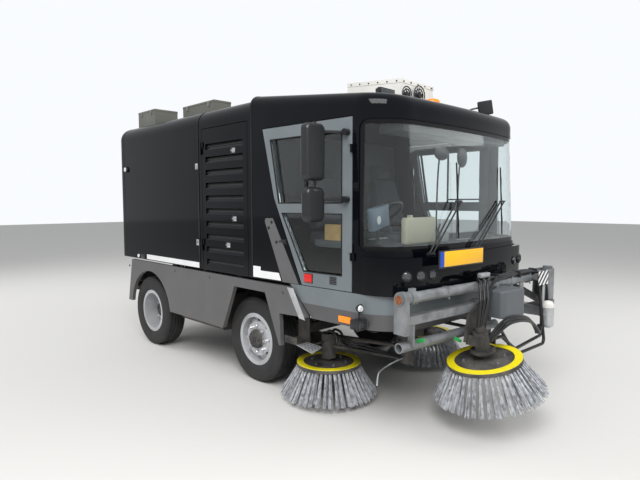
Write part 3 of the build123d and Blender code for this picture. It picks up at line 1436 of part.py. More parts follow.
# Hoses of the boom: three along the tube that dive to the motor, two that hang in a loop beside the brush
hose_r = 11.0
hose_bend = 45.0
hose_end_gap = 1.3
motor_crown = hub + spin_dir * (motor_top - 30.0)
motor_inlet = hub + spin_dir * (motor_top + 15.0)
hose_rise = boom_tube_r + hose_r + 2.5
tube_hoses = (  # y from the tube's middle, drop point from the link's end
    (-25.0, -60.0),
    (0.0, -110.0),
    (25.0, -160.0),
)
loop_hoses = (  # y from the manifold's middle, lowest z, height of the end on the motor
    (-16.0, 470.0, 30.0),
    (14.0, 520.0, -10.0),
)
with BuildPart() as boom_hoses:
    for offset, drop_x in tube_hoses:
        start = (boom_lift_x - 210.0, boom_y + offset, boom_z + hose_rise)
        with BuildLine():
            FilletPolyline(
                start,
                (link_end_x + drop_x + 130.0, boom_y + offset, boom_z + hose_rise),
                (link_end_x + drop_x - 10.0, boom_y - 95.0, boom_z + hose_rise),
                (link_end_x + drop_x - 50.0, boom_y - 130.0, boom_z - 80.0),
                (motor_inlet.X - offset, motor_inlet.Y, motor_inlet.Z),
                radius=hose_bend,
            )
        with BuildSketch(Plane(origin=start, z_dir=(-1, 0, 0))):
            Circle(hose_r)
        sweep()
    for offset, low_z, rise in loop_hoses:
        start = (manifold_x + 2.0 * offset, boom_y - 66.0, manifold_low_z - hose_end_gap)
        end_z = motor_crown.Z + rise - 40.0
        with BuildLine():
            FilletPolyline(
                start,
                (start[0], boom_y - 100.0 + 2.0 * offset, low_z),
                (link_end_x + 260.0, front_brush_y, low_z - 10.0),
                (link_end_x + 60.0, front_brush_y, end_z),
                (front_brush_x + motor_r - 5.0, front_brush_y, end_z),
                radius=hose_bend,
            )
        with BuildSketch(Plane(origin=start, z_dir=(0, -0.07, -1))):
            Circle(hose_r + 2.0)
        sweep()
    add(boom_head.part, mode=Mode.SUBTRACT)
export_turned(boom_hoses, "boom_hoses")

# Boom lift ram: barrel on the post, rod to the arm
lift_run = lift_eye - lift_base
lift_dir = lift_run.normalized()
lift_r = 30.0
lift_rod_r = 16.0
lift_rod_start = 160.0
lift_mouth = lift_run.length - 60.0
lift_boss_r = 26.0
across = Vector(0, 22.0, 0)
with BuildPart() as lift_barrel:
    rod(tuple(lift_base - across), tuple(lift_base + across), lift_boss_r)
    rod(tuple(lift_base), tuple(lift_base + lift_dir * lift_mouth), lift_r)
    rod(
        tuple(lift_base + lift_dir * 40.0),
        tuple(lift_base + lift_dir * lift_mouth),
        lift_rod_r + shaft_gap,
        mode=Mode.SUBTRACT,
    )
    rod(
        tuple(lift_base - across * 2),
        tuple(lift_base + across * 2),
        lift_pin_r + shaft_gap,
        mode=Mode.SUBTRACT,
    )
export_turned(lift_barrel, "lift_barrel")

with BuildPart() as lift_rod:
    rod(tuple(lift_base + lift_dir * lift_rod_start), tuple(lift_eye), lift_rod_r)
    rod(tuple(lift_eye - across), tuple(lift_eye + across), lift_boss_r - 2.0)
    rod(
        tuple(lift_eye - across * 2),
        tuple(lift_eye + across * 2),
        lift_pin_r + shaft_gap,
        mode=Mode.SUBTRACT,
    )
export_turned(lift_rod, "lift_rod")
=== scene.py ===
"""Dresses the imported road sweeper: its finishes, and the small parts that the solids leave out."""

import json
import logging
import math
import random
from dataclasses import dataclass, field
from enum import Enum
from typing import Callable, Iterable, Sequence

import bmesh
import bpy
from mathutils import Matrix, Vector

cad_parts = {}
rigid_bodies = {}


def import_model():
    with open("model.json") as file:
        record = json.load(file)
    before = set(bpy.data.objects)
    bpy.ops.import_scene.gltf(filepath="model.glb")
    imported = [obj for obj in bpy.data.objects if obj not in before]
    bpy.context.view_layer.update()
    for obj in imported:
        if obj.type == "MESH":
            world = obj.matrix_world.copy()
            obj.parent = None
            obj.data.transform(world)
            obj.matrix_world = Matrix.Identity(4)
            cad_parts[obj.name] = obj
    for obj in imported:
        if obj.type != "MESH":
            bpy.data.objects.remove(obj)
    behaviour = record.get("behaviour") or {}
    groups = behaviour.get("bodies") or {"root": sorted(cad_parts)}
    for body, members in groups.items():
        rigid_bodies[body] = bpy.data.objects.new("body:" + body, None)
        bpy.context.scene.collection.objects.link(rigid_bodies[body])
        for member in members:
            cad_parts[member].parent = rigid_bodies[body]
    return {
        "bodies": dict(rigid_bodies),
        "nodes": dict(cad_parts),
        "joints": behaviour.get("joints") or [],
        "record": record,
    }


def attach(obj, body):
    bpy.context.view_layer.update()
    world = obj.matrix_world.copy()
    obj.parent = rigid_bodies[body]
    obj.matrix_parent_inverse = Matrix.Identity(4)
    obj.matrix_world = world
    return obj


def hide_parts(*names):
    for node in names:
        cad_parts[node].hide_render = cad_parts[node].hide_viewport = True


LOG = logging.getLogger("sweeper")
FRONT_AXLE_Y = -0.136
BODY_HALF = 1.085
CAB_BACK = -0.14
CAB_TAPER = 0.04328
Colour = tuple[float, float, float]
Point = Sequence[float]
Cut = tuple[Point, Point]


class Spread(Enum):
    """How a finish's marks lie on a surface."""

    CLEAN = "clean"
    ROAD_FILM = "road_film"
    GRIME = "grime"


class Hand(Enum):
    """The two sides of the machine, with the sign of their X."""

    RIGHT = -1
    LEFT = 1

    @property
    def word(self) -> str:
        """Returns the side's name as the pieces use it."""
        return self.name.lower()

    def matrix(self) -> Matrix:
        """Returns the matrix that takes a left-hand form to this side."""
        return Matrix.Scale(self.value, 4, (1, 0, 0))


@dataclass(frozen=True)
class Finish:
    """A surface finish and the numbers that its material is built from."""

    name: str
    colour: Colour
    roughness: float = 0.45
    metallic: float = 0.0
    specular: float = 0.5
    grain: float = 0.0
    grain_size: float = 0.004
    mottle: float = 0.08
    mottle_size: float = 0.35
    spread: Spread = Spread.CLEAN
    dust: Colour = (0.19, 0.17, 0.14)
    glow: float = 0.0

    def film(self) -> float:
        """Returns how strongly road dust lies on this finish."""
        return {Spread.CLEAN: 0.0, Spread.ROAD_FILM: 0.30, Spread.GRIME: 0.8}[self.spread]


GLOSS_BLACK = Finish("gloss_black", (0.0020, 0.0025, 0.0042), 0.07, specular=0.20, mottle=0.25,
                     dust=(0.018, 0.017, 0.016),
                     spread=Spread.ROAD_FILM)
SKIRT_GREY = Finish("skirt_grey", (0.098, 0.096, 0.100), 0.42, grain=0.10, spread=Spread.ROAD_FILM)
PANEL_GREY = Finish("panel_grey", (0.140, 0.162, 0.174), 0.34, grain=0.05, spread=Spread.ROAD_FILM)
BUMPER_GREY = Finish("bumper_grey", (0.078, 0.076, 0.080), 0.50, grain=0.15, spread=Spread.ROAD_FILM)
COVER_GREY = Finish("cover_grey", (0.090, 0.102, 0.112), 0.46, grain=0.12, spread=Spread.ROAD_FILM)
FRAME_BLACK = Finish("frame_black", (0.018, 0.018, 0.020), 0.58, grain=0.30, spread=Spread.GRIME)
TRIM_BLACK = Finish("trim_black", (0.014, 0.015, 0.017), 0.36, grain=0.15)
MESH_GREY = Finish("mesh_grey", (0.022, 0.022, 0.023), 0.60, grain=0.9, grain_size=0.006, mottle=0.5,
                   mottle_size=0.01)
GALVANISED = Finish("galvanised", (0.235, 0.245, 0.255), 0.46, 0.45, grain=0.12, mottle=0.30,
                    mottle_size=0.09,
                    spread=Spread.ROAD_FILM)
ALUMINIUM = Finish("aluminium", (0.48, 0.49, 0.50), 0.38, 0.5, mottle=0.15, mottle_size=0.08)
RUST = Finish("rust", (0.20, 0.070, 0.025), 0.85, grain=0.8, mottle=0.6, mottle_size=0.012)
RIM_SILVER = Finish("rim_silver", (0.52, 0.53, 0.55), 0.34, 0.35, mottle=0.12, spread=Spread.ROAD_FILM)
RUBBER = Finish("rubber", (0.014, 0.014, 0.015), 0.70, grain=0.25, grain_size=0.003,
                dust=(0.050, 0.048, 0.045),
                spread=Spread.GRIME)
SEAL = Finish("seal", (0.008, 0.008, 0.009), 0.50, specular=0.3, grain=0.10)
SCREEN_PRINT = Finish("screen_print", (0.003, 0.003, 0.004), 0.10, specular=0.3, mottle=0.10)
BRISTLE = Finish("bristle", (0.36, 0.37, 0.39), 0.46, mottle=0.55, mottle_size=0.030)
RING_YELLOW = Finish("ring_yellow", (0.86, 0.72, 0.005), 0.42, mottle=0.06, spread=Spread.ROAD_FILM)
DISC_GREY = Finish("disc_grey", (0.035, 0.035, 0.038), 0.62, grain=0.30, spread=Spread.GRIME)
COOLER_WHITE = Finish("cooler_white", (0.72, 0.71, 0.67), 0.38, mottle=0.10, spread=Spread.ROAD_FILM)
BOX_GREY = Finish("box_grey", (0.115, 0.115, 0.100), 0.55, mottle=0.15, spread=Spread.ROAD_FILM)
ENGINE_GREY = Finish("engine_grey", (0.05, 0.05, 0.052), 0.62, grain=0.5, spread=Spread.GRIME)
CHROME = Finish("chrome", (0.72, 0.73, 0.75), 0.14, 1.0, mottle=0.05)
HOSE_BLACK = Finish("hose_black", (0.012, 0.012, 0.013), 0.38, grain=0.15)
CLOTH_GREY = Finish("cloth_grey", (0.060, 0.063, 0.070), 0.88, grain=0.60, grain_size=0.0016, mottle=0.18,
                    mottle_size=0.02)
CABIN_GREY = Finish("cabin_grey", (0.060, 0.066, 0.070), 0.62, grain=0.25)
CABIN_MID = Finish("cabin_mid", (0.115, 0.120, 0.125), 0.55, grain=0.20, mottle=0.06)
CABIN_PALE = Finish("cabin_pale", (0.42, 0.43, 0.42), 0.70, grain=0.20, mottle=0.06)
SCREEN_BLUE = Finish("screen_blue", (0.16, 0.20, 0.25), 0.35, mottle=0.10)
TANK_CREAM = Finish("tank_cream", (0.62, 0.56, 0.42), 0.45, mottle=0.08)
CARD_TAN = Finish("card_tan", (0.52, 0.33, 0.13), 0.80, grain=0.20, mottle=0.12, mottle_size=0.05)
AMBER = Finish("amber", (0.95, 0.26, 0.015), 0.16, mottle=0.05, glow=0.12)
RED_LENS = Finish("red_lens", (0.62, 0.012, 0.010), 0.18, mottle=0.05)
WHITE_LENS = Finish("white_lens", (0.62, 0.64, 0.66), 0.10, mottle=0.05)
CLEAR_LENS = Finish("clear_lens", (0.075, 0.078, 0.085), 0.05, 0.3, mottle=0.35, mottle_size=0.012)
RETRO_WHITE = Finish("retro_white", (0.78, 0.78, 0.78), 0.35, mottle=0.05)
PLATE_YELLOW = Finish("plate_yellow", (0.88, 0.46, 0.010), 0.36, mottle=0.04)
PLATE_BLUE = Finish("plate_blue", (0.010, 0.060, 0.42), 0.36, mottle=0.04)
FITTING_GREEN = Finish("fitting_green", (0.020, 0.30, 0.070), 0.42, mottle=0.08)
MIRROR_FACE = Finish("mirror_face", (0.80, 0.82, 0.84), 0.03, 1.0, mottle=0.0)


def wired(tree: bpy.types.NodeTree, kind: str, feeds: dict, **settings: object) -> bpy.types.Node:
    """Adds a shader node, sets it and feeds its inputs.

    Args:
        tree: the tree that takes the node.
        kind: the node's type, without the start that all shader nodes share.
        feeds: for each input its value, or the socket that it is joined to.
        settings: the node's own settings.

    Returns:
        The node.
    """
    node = tree.nodes.new(f"ShaderNode{kind}")
    for name, value in settings.items():
        setattr(node, name, value)
    for name, value in feeds.items():
        if isinstance(value, bpy.types.NodeSocket):
            tree.links.new(value, node.inputs[name])
        else:
            node.inputs[name].default_value = value
    return node


def plain_material(name: str, values: dict[str, object]) -> bpy.types.Material:
    """Returns a new material whose shader has the given values."""
    material = bpy.data.materials.new(name)
    material.use_nodes = True
    shader = material.node_tree.nodes["Principled BSDF"]
    for label, value in values.items():
        shader.inputs[label].default_value = value
    return material


class PaintShop:
    """Makes each finish's material once, from shared node groups."""

    def __init__(self) -> None:
        """Builds the groups that the materials share."""
        self.made: dict[str, bpy.types.Material] = {}
        self.grain = self._grain_group()
        self.dust = self._dust_group()
        self.glass = self._glass()

    @staticmethod
    def _group(name: str, inputs: Iterable[tuple[str, str, object]], outputs: Iterable[tuple[str, str]]):
        """Starts a shader node group.

        Args:
            name: the group's name.
            inputs: socket names with their types and first values.
            outputs: socket names with their types.

        Returns:
            The group, its input node and its output node.
        """
        group = bpy.data.node_groups.new(name, "ShaderNodeTree")
        for label, kind, value in inputs:
            socket = group.interface.new_socket(label, in_out="INPUT", socket_type=kind)
            socket.default_value = value
        for label, kind in outputs:
            group.interface.new_socket(label, in_out="OUTPUT", socket_type=kind)
        return group, group.nodes.new("NodeGroupInput"), group.nodes.new("NodeGroupOutput")

    def _grain_group(self) -> bpy.types.NodeTree:
        """Returns the group that gives colour variation and a fine bump height."""
        group, given, out = self._group(
            "surface_grain",
            [("Colour", "NodeSocketColor", (0.5, 0.5, 0.5, 1.0)), ("Mottle", "NodeSocketFloat", 0.1),
             ("Mottle Size", "NodeSocketFloat", 3.0), ("Grain Size", "NodeSocketFloat", 250.0)],
            [("Colour", "NodeSocketColor"), ("Height", "NodeSocketFloat")],
        )
        place = wired(group, "TexCoord", {}).outputs["Object"]
        patch = wired(group, "TexNoise",
                      {"Detail": 5.0, "Vector": place, "Scale": given.outputs["Mottle Size"]})
        fine = wired(group, "TexNoise",
                     {"Detail": 2.0, "Vector": place, "Scale": given.outputs["Grain Size"]})
        swing = wired(group, "MapRange", {"From Min": 0.3, "From Max": 0.7, "To Min": -1.0, "To Max": 1.0,
                                          "Value": patch.outputs["Fac"]})
        scale = wired(group, "Math", {0: swing.outputs["Result"], 1: given.outputs["Mottle"]},
                      operation="MULTIPLY")
        one = wired(group, "Math", {0: scale.outputs[0], 1: 1.0}, operation="ADD")
        tint = wired(group, "VectorMath", {0: given.outputs["Colour"], "Scale": one.outputs[0]},
                     operation="SCALE")
        group.links.new(tint.outputs["Vector"], out.inputs["Colour"])
        group.links.new(fine.outputs["Fac"], out.inputs["Height"])
        return group

    def _dust_group(self) -> bpy.types.NodeTree:
        """Returns the group whose mask is strongest near the road and in cloudy patches."""
        group, given, out = self._group(
            "road_dust",
            [("Amount", "NodeSocketFloat", 0.3), ("Low Edge", "NodeSocketFloat", 0.25),
             ("High Edge", "NodeSocketFloat", 1.1)],
            [("Mask", "NodeSocketFloat")],
        )
        place = wired(group, "TexCoord", {}).outputs["Object"]
        split = wired(group, "SeparateXYZ", {0: place})
        low = wired(group, "MapRange", {"To Min": 1.0, "To Max": 0.12, "Value": split.outputs["Z"],
                                        "From Min": given.outputs["Low Edge"],
                                        "From Max": given.outputs["High Edge"]})
        clouds = wired(group, "TexNoise", {"Scale": 7.0, "Detail": 8.0, "Roughness": 0.65, "Vector": place})
        sharpen = wired(group, "MapRange",
                        {"From Min": 0.38, "From Max": 0.72, "Value": clouds.outputs["Fac"]})
        both = wired(group, "Math", {0: low.outputs["Result"], 1: sharpen.outputs["Result"]},
                     operation="MULTIPLY")
        amount = wired(group, "Math", {0: both.outputs[0], 1: given.outputs["Amount"]}, operation="MULTIPLY")
        group.links.new(amount.outputs[0], out.inputs["Mask"])
        return group

    @staticmethod
    def _glass() -> bpy.types.Material:
        """Returns the tinted window glass."""
        return plain_material("window_glass", {"Base Color": (0.86, 0.92, 0.92, 1.0), "Roughness": 0.0,
                                               "IOR": 1.45, "Transmission Weight": 1.0})

    def material(self, finish: Finish) -> bpy.types.Material:
        """Returns the material of a finish, made the first time that it is asked for.

        Args:
            finish: the finish.

        Returns:
            Its material.
        """
        if finish.name in self.made:
            return self.made[finish.name]
        material = plain_material(finish.name, {"Metallic": finish.metallic,
                                                "Specular IOR Level": finish.specular})
        tree = material.node_tree
        shader = tree.nodes["Principled BSDF"]
        grain = wired(tree, "Group", {"Colour": (*finish.colour, 1.0), "Mottle": finish.mottle,
                                      "Mottle Size": 1.0 / finish.mottle_size,
                                      "Grain Size": 1.0 / finish.grain_size}, node_tree=self.grain)
        mask = wired(tree, "Group", {"Amount": finish.film()}, node_tree=self.dust).outputs["Mask"]
        blend = wired(tree, "Mix", {"B": (*finish.dust, 1.0), "Factor": mask, "A": grain.outputs["Colour"]},
                      data_type="RGBA")
        tree.links.new(blend.outputs["Result"], shader.inputs["Base Color"])
        rough = wired(tree, "MapRange", {"To Min": finish.roughness * 0.9,
                                         "To Max": min(1.0, finish.roughness * 1.1 + 0.35), "Value": mask})
        tree.links.new(rough.outputs["Result"], shader.inputs["Roughness"])
        if finish.grain > 0.0:
            bump = wired(tree, "Bump", {"Strength": min(1.0, finish.grain), "Height": grain.outputs["Height"],
                                        "Distance": finish.grain_size * 0.25})
            tree.links.new(bump.outputs["Normal"], shader.inputs["Normal"])
        if finish.glow > 0.0:
            shader.inputs["Emission Color"].default_value = (*finish.colour, 1.0)
            shader.inputs["Emission Strength"].default_value = finish.glow
        self.made[finish.name] = material
        return material

    def coat(self, piece: bpy.types.Object, finish: Finish) -> None:
        """Gives a piece one finish all over."""
        piece.data.materials.clear()
        piece.data.materials.append(self.material(finish))


def facing(way: Vector) -> Matrix:
    """Returns the turn that lays the Z axis along a direction."""
    return way.to_track_quat("Z", "Y").to_matrix().to_4x4()


def turned(degrees: float, axis: str) -> Matrix:
    """Returns a turn about an axis."""
    return Matrix.Rotation(math.radians(degrees), 4, axis)


def hoop(radius: float, height: float, thick: float, steps: int) -> list[tuple[float, float]]:
    """Returns a round section for lathe(), as a ring of that radius has it."""
    return [(radius + thick * math.cos(a), height + thick * math.sin(a))
            for a in (math.tau * k / steps for k in range(steps))]


class Shape:
    """A mesh under construction, in the row frame, from bmesh operators."""

    def __init__(self) -> None:
        """Starts with an empty mesh."""
        self.mesh = bmesh.new()

    def _all(self) -> list:
        """Returns every vertex, edge and face."""
        return self.mesh.verts[:] + self.mesh.edges[:] + self.mesh.faces[:]

    def block(self, low: Point, high: Point, bevel: float = 0.0, turn: Matrix | None = None,
              segments: int = 2) -> "Shape":
        """Adds a block with rounded edges.

        Args:
            low: its lowest corner.
            high: its highest corner.
            bevel: the radius of its edges.
            turn: a matrix applied last.
            segments: the steps of the rounding.

        Returns:
            This shape.
        """
        made = bmesh.ops.create_cube(self.mesh, size=1.0)["verts"]
        size = [abs(b - a) for a, b in zip(low, high)]
        middle = [(a + b) / 2 for a, b in zip(low, high)]
        bmesh.ops.scale(self.mesh, vec=size, verts=made)
        bmesh.ops.translate(self.mesh, vec=middle, verts=made)
        if bevel > 0.0:
            edges = list({e for v in made for e in v.link_edges})
            rounded = bmesh.ops.bevel(self.mesh, geom=edges, offset=bevel, offset_type="OFFSET",
                                      segments=segments,
                                      profile=0.5, affect="EDGES", material=-1)
            made = list({v for f in rounded["faces"] for v in f.verts})
        if turn is not None:
            bmesh.ops.transform(self.mesh, matrix=turn, verts=made)
        return self

    def bar(self, start: Point, end: Point, radius: float, sides: int = 16, end_radius: float | None = None,
            caps: bool = True) -> "Shape":
        """Adds a round bar, or a cone, between two points.

        Args:
            start: the first end.
            end: the other end.
            radius: the radius at the start.
            sides: the number of sides.
            end_radius: the radius at the end, if it differs.
            caps: whether the ends are closed.

        Returns:
            This shape.
        """
        a, b = Vector(start), Vector(end)
        run = b - a
        bmesh.ops.create_cone(self.mesh, cap_ends=caps, cap_tris=False, segments=sides, radius1=radius,
                              radius2=radius if end_radius is None else end_radius, depth=run.length,
                              matrix=Matrix.Translation((a + b) / 2) @ facing(run))
        return self

    def lathe(self, profile: Sequence[tuple[float, float]], place: Matrix, steps: int = 48,
              closed: bool = False) -> "Shape":
        """Turns a profile of radius and height about its Z axis.

        Args:
            profile: pairs of radius and height.
            place: the matrix that puts the turned form in the row frame.
            steps: the steps of the turn.
            closed: whether the profile ends where it starts.

        Returns:
            This shape.
        """
        before = set(self.mesh.verts)
        verts = [self.mesh.verts.new((r, 0.0, z)) for r, z in profile]
        pairs = list(zip(verts, verts[1:])) + ([(verts[-1], verts[0])] if closed else [])
        edges = [self.mesh.edges.new(p) for p in pairs]
        bmesh.ops.spin(self.mesh, geom=verts + edges, cent=(0, 0, 0), axis=(0, 0, 1), angle=2 * math.pi,
                       steps=steps,
                       use_merge=True, use_duplicate=False)
        made = [v for v in self.mesh.verts if v not in before]
        bmesh.ops.remove_doubles(self.mesh, verts=made, dist=1e-6)
        made = [v for v in self.mesh.verts if v not in before]
        bmesh.ops.transform(self.mesh, matrix=place, verts=made)
        return self

    def plate(self, outline: Sequence[Point], push: Point) -> "Shape":
        """Adds a flat plate.

        Args:
            outline: the corners of one face.
            push: the vector from that face to the other.

        Returns:
            This shape.
        """
        face = self.mesh.faces.new([self.mesh.verts.new(p) for p in outline])
        made = bmesh.ops.extrude_face_region(self.mesh, geom=[face])["geom"]
        bmesh.ops.translate(self.mesh, vec=push, verts=[g for g in made if isinstance(g, bmesh.types.BMVert)])
        return self

    def wire(self, points: Sequence[Point], radius: float, bent: bool = True,
             closed: bool = False) -> "Shape":
        """Adds a rod, hose or rubber profile along a path.

        Args:
            points: the path's control points.
            radius: the radius.
            bent: whether the path curves, or else has straight runs.
            closed: whether the path returns to its start.

        Returns:
            This shape.
        """
        curve = bpy.data.curves.new("path", "CURVE")
        curve.dimensions = "3D"
        curve.bevel_depth = radius
        curve.bevel_resolution = 2
        curve.resolution_u = 6
        curve.use_fill_caps = not closed
        line = curve.splines.new("NURBS" if bent else "POLY")
        line.points.add(len(points) - 1)
        for knot, place in zip(line.points, points):
            knot.co = (*place, 1.0)
        line.use_cyclic_u = closed
        if bent:
            line.order_u = 3
            line.use_endpoint_u = not closed
        holder = bpy.data.objects.new("path", curve)
        mesh = bpy.data.meshes.new_from_object(holder)
        self.mesh.from_mesh(mesh)
        bpy.data.objects.remove(holder)
        bpy.data.meshes.remove(mesh)
        bpy.data.curves.remove(curve)
        return self

    def cut(self, cuts: Sequence[Cut]) -> "Shape":
        """Cuts away what lies on the far side of planes, and closes the holes.

        Args:
            cuts: for each plane a point on it and the direction that is cut away.

        Returns:
            This shape.
        """
        for point, away in cuts:
            bmesh.ops.bisect_plane(self.mesh, geom=self._all(), plane_co=point, plane_no=away,
                                   clear_outer=True)
            bmesh.ops.holes_fill(self.mesh, edges=[e for e in self.mesh.edges if e.is_boundary], sides=0)
        return self

    def strip(self, node: bpy.types.Object, cuts: Sequence[Cut], swell: float) -> "Shape":
        """Takes a copy of the part of a frame piece inside some planes, a little thicker than the piece.

        Args:
            node: the frame's piece.
            cuts: the planes, as cut() takes them.
            swell: how far each face moves outward.

        Returns:
            This shape.
        """
        self.mesh.from_mesh(node.data)
        bmesh.ops.remove_doubles(self.mesh, verts=self.mesh.verts[:], dist=1e-5)
        self.cut(cuts)
        bmesh.ops.recalc_face_normals(self.mesh, faces=self.mesh.faces[:])
        self.mesh.normal_update()
        for vert in self.mesh.verts:
            vert.co += vert.normal * swell
        return self

    def patterned(self, count: int, centre: Point, axis: Point, angle: float = 2 * math.pi) -> "Shape":
        """Repeats all that is there about an axis.

        Args:
            count: how many there are in the end.
            centre: a point on the axis.
            axis: the axis.
            angle: the angle that they fill.

        Returns:
            This shape.
        """
        bmesh.ops.spin(self.mesh, geom=self._all(), cent=centre, axis=axis, angle=angle * (count - 1) / count,
                       steps=count - 1, use_duplicate=True)
        return self

    def joined(self, other: "Shape") -> "Shape":
        """Takes in another shape, which is used up."""
        data = bpy.data.meshes.new("part")
        other.mesh.to_mesh(data)
        other.mesh.free()
        self.mesh.from_mesh(data)
        bpy.data.meshes.remove(data)
        return self

    def moved(self, matrix: Matrix) -> "Shape":
        """Moves all that is there."""
        bmesh.ops.transform(self.mesh, matrix=matrix, verts=self.mesh.verts[:])
        return self

    def mirrored(self) -> "Shape":
        """Adds the mirror image across the centre plane."""
        made = bmesh.ops.duplicate(self.mesh, geom=self._all())
        verts = [g for g in made["geom"] if isinstance(g, bmesh.types.BMVert)]
        bmesh.ops.scale(self.mesh, vec=(-1, 1, 1), verts=verts)
        return self

    def finish(self, name: str, smooth: float = 40.0) -> bpy.types.Object:
        """Turns the shape into a piece at the origin.

        Args:
            name: the piece's name.
            smooth: edges flatter than this many degrees are shaded smooth.

        Returns:
            The new object.
        """
        bmesh.ops.recalc_face_normals(self.mesh, faces=self.mesh.faces[:])
        data = bpy.data.meshes.new(name)
        self.mesh.to_mesh(data)
        self.mesh.free()
        data.shade_smooth()
        data.set_sharp_from_angle(angle=math.radians(smooth))
        piece = bpy.data.objects.new(name, data)
        bpy.context.scene.collection.objects.link(piece)
        return piece


@dataclass
class Assembly:
    """A group of pieces that are dressed together."""

    paint: PaintShop
    nodes: dict[str, bpy.types.Object]

    def dress(self, finish: Finish, *names: str) -> None:
        """Gives the finish to the frame's own pieces of these names, where the frame has them."""
        for name in names:
            if name in self.nodes:
                self.paint.coat(self.nodes[name], finish)

    def add(self, shape: Shape, name: str, finish: Finish, body: str = "chassis", smooth: float = 40.0,
            stands_for: Sequence[str] = ()) -> bpy.types.Object:
        """Finishes a shape as a piece that rides on a body.

        Args:
            shape: the mesh.
            name: the piece's name.
            finish: its finish.
            body: the body that it rides on.
            smooth: the smoothing angle in degrees.
            stands_for: the frame's pieces that it replaces.

        Returns:
            The new piece.
        """
        piece = shape.finish(name, smooth)
        self.paint.coat(piece, finish)
        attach(piece, body)
        if stands_for:
            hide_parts(*stands_for)
        LOG.info("%s rides on %s with %d faces", name, body, len(piece.data.polygons))
        return piece


def fore(y: float) -> float:
    """Returns the Y of a distance that was measured from the front axle."""
    return FRONT_AXLE_Y + y


def flank(y: float) -> float:
    """Returns the half width of the cab's side at a distance from the front axle."""
    return BODY_HALF - CAB_TAPER * (CAB_BACK - y)


def on_side(hand: Hand, points: Sequence[tuple[float, float]],
            out: float = 0.0) -> list[tuple[float, float, float]]:
    """Puts points on the cab's side.

    Args:
        hand: which side.
        points: pairs of the distance from the front axle and the height.
        out: how far they stand outside the side.

    Returns:
        The points in the row frame.
    """
    return [(hand.value * (flank(y) + out), fore(y), z) for y, z in points]


@dataclass
class Wheel:
    """One wheel's place and the side that it faces."""

    name: str
    side: int
    x: float
    y: float
    dish: float


@dataclass
class Wheels(Assembly):
    """Tyres with their tread, and what is bolted to the rims."""

    tyre_r: float = 0.400
    half: float = 0.1175
    seat_r: float = 0.2222
    grooves: Sequence[float] = (-0.062, -0.022, 0.022, 0.062)
    groove_half: float = 0.0045
    groove_depth: float = 0.011
    studs: int = 8

    def build(self) -> None:
        """Builds every wheel."""
        wheels = [
            Wheel(f"{end}_{hand.word}", hand.value, x, y, dish)
            for end, x, y, dish in (("front", 0.8455, FRONT_AXLE_Y, 0.062),
                                    ("rear", 0.9375, FRONT_AXLE_Y + 1.890, -0.058))
            for hand in Hand
        ]
        for wheel in wheels:
            self._tyre(wheel)
            self._studs(wheel)
            self.dress(RIM_SILVER, f"rim_{wheel.name}")

    def _place(self, wheel: Wheel) -> Matrix:
        """Returns the matrix that lays a turned form's Z axis along the wheel's outward axis."""
        return Matrix.Translation((wheel.side * wheel.x, wheel.y, self.tyre_r)) @ Matrix.Rotation(
            wheel.side * math.pi / 2, 4, "Y")

    def _tyre(self, wheel: Wheel) -> None:
        """Builds one tyre with ribs, grooves and rounded shoulders."""
        h, r = self.half, self.tyre_r
        side = [
            (self.seat_r, -h + 0.034), (0.236, -h + 0.026), (0.248, -h + 0.016), (0.262, -h + 0.006),
            (0.282, -h + 0.001), (0.312, -h), (0.338, -h + 0.002), (0.358, -h + 0.004), (0.362, -h + 0.0015),
            (0.368, -h + 0.0015), (0.372, -h + 0.006), (0.384, -h + 0.009), (0.394, -h + 0.016),
            (r, -h + 0.027),
        ]
        crown: list[tuple[float, float]] = []
        for groove in self.grooves:
            crown += [
                (r, groove - self.groove_half), (r - self.groove_depth, groove - self.groove_half * 0.7),
                (r - self.groove_depth, groove + self.groove_half * 0.7), (r, groove + self.groove_half),
            ]
        other = [(radius, -z) for radius, z in reversed(side)]
        shape = Shape().lathe(side + crown + other, self._place(wheel), steps=96, closed=True)
        self.add(shape, f"tread_{wheel.name}", RUBBER, f"wheel_{wheel.name}", 35.0, [f"tyre_{wheel.name}"])

    def _studs(self, wheel: Wheel) -> None:
        """Builds the wheel nuts and the hub cap."""
        outward = wheel.side
        face = wheel.side * (wheel.x + wheel.dish + 0.014)
        shape = Shape()
        at = (face, wheel.y, self.tyre_r + 0.124)
        shape.bar(at, (face + outward * 0.020, at[1], at[2]), 0.0155, 6)
        shape.bar(at, (face + outward * 0.032, at[1], at[2]), 0.0085, 10)
        shape.patterned(self.studs, (0, wheel.y, self.tyre_r), (1, 0, 0))
        self.add(shape, f"wheel_nuts_{wheel.name}", CHROME, f"wheel_{wheel.name}", 30.0)
        hub = wheel.side * (wheel.x + wheel.dish + 0.050)
        cap = Shape().bar((hub - outward * 0.020, wheel.y, self.tyre_r), (hub, wheel.y, self.tyre_r), 0.092,
                          40, 0.084)
        cap.bar((hub, wheel.y, self.tyre_r), (hub + outward * 0.008, wheel.y, self.tyre_r), 0.080, 40, 0.078)
        bolt = Shape()
        for step in range(self.studs):
            angle = math.tau * step / self.studs
            y, z = wheel.y + 0.062 * math.cos(angle), self.tyre_r + 0.062 * math.sin(angle)
            bolt.bar((hub + outward * 0.007, y, z), (hub + outward * 0.015, y, z), 0.0085, 6)
        bolt.bar((hub + outward * 0.007, wheel.y, self.tyre_r), (hub + outward * 0.014, wheel.y, self.tyre_r),
                 0.026, 24)
        self.add(cap, f"hub_cap_{wheel.name}", DISC_GREY, f"wheel_{wheel.name}")
        self.add(bolt, f"hub_bolts_{wheel.name}", FRAME_BLACK, f"wheel_{wheel.name}")


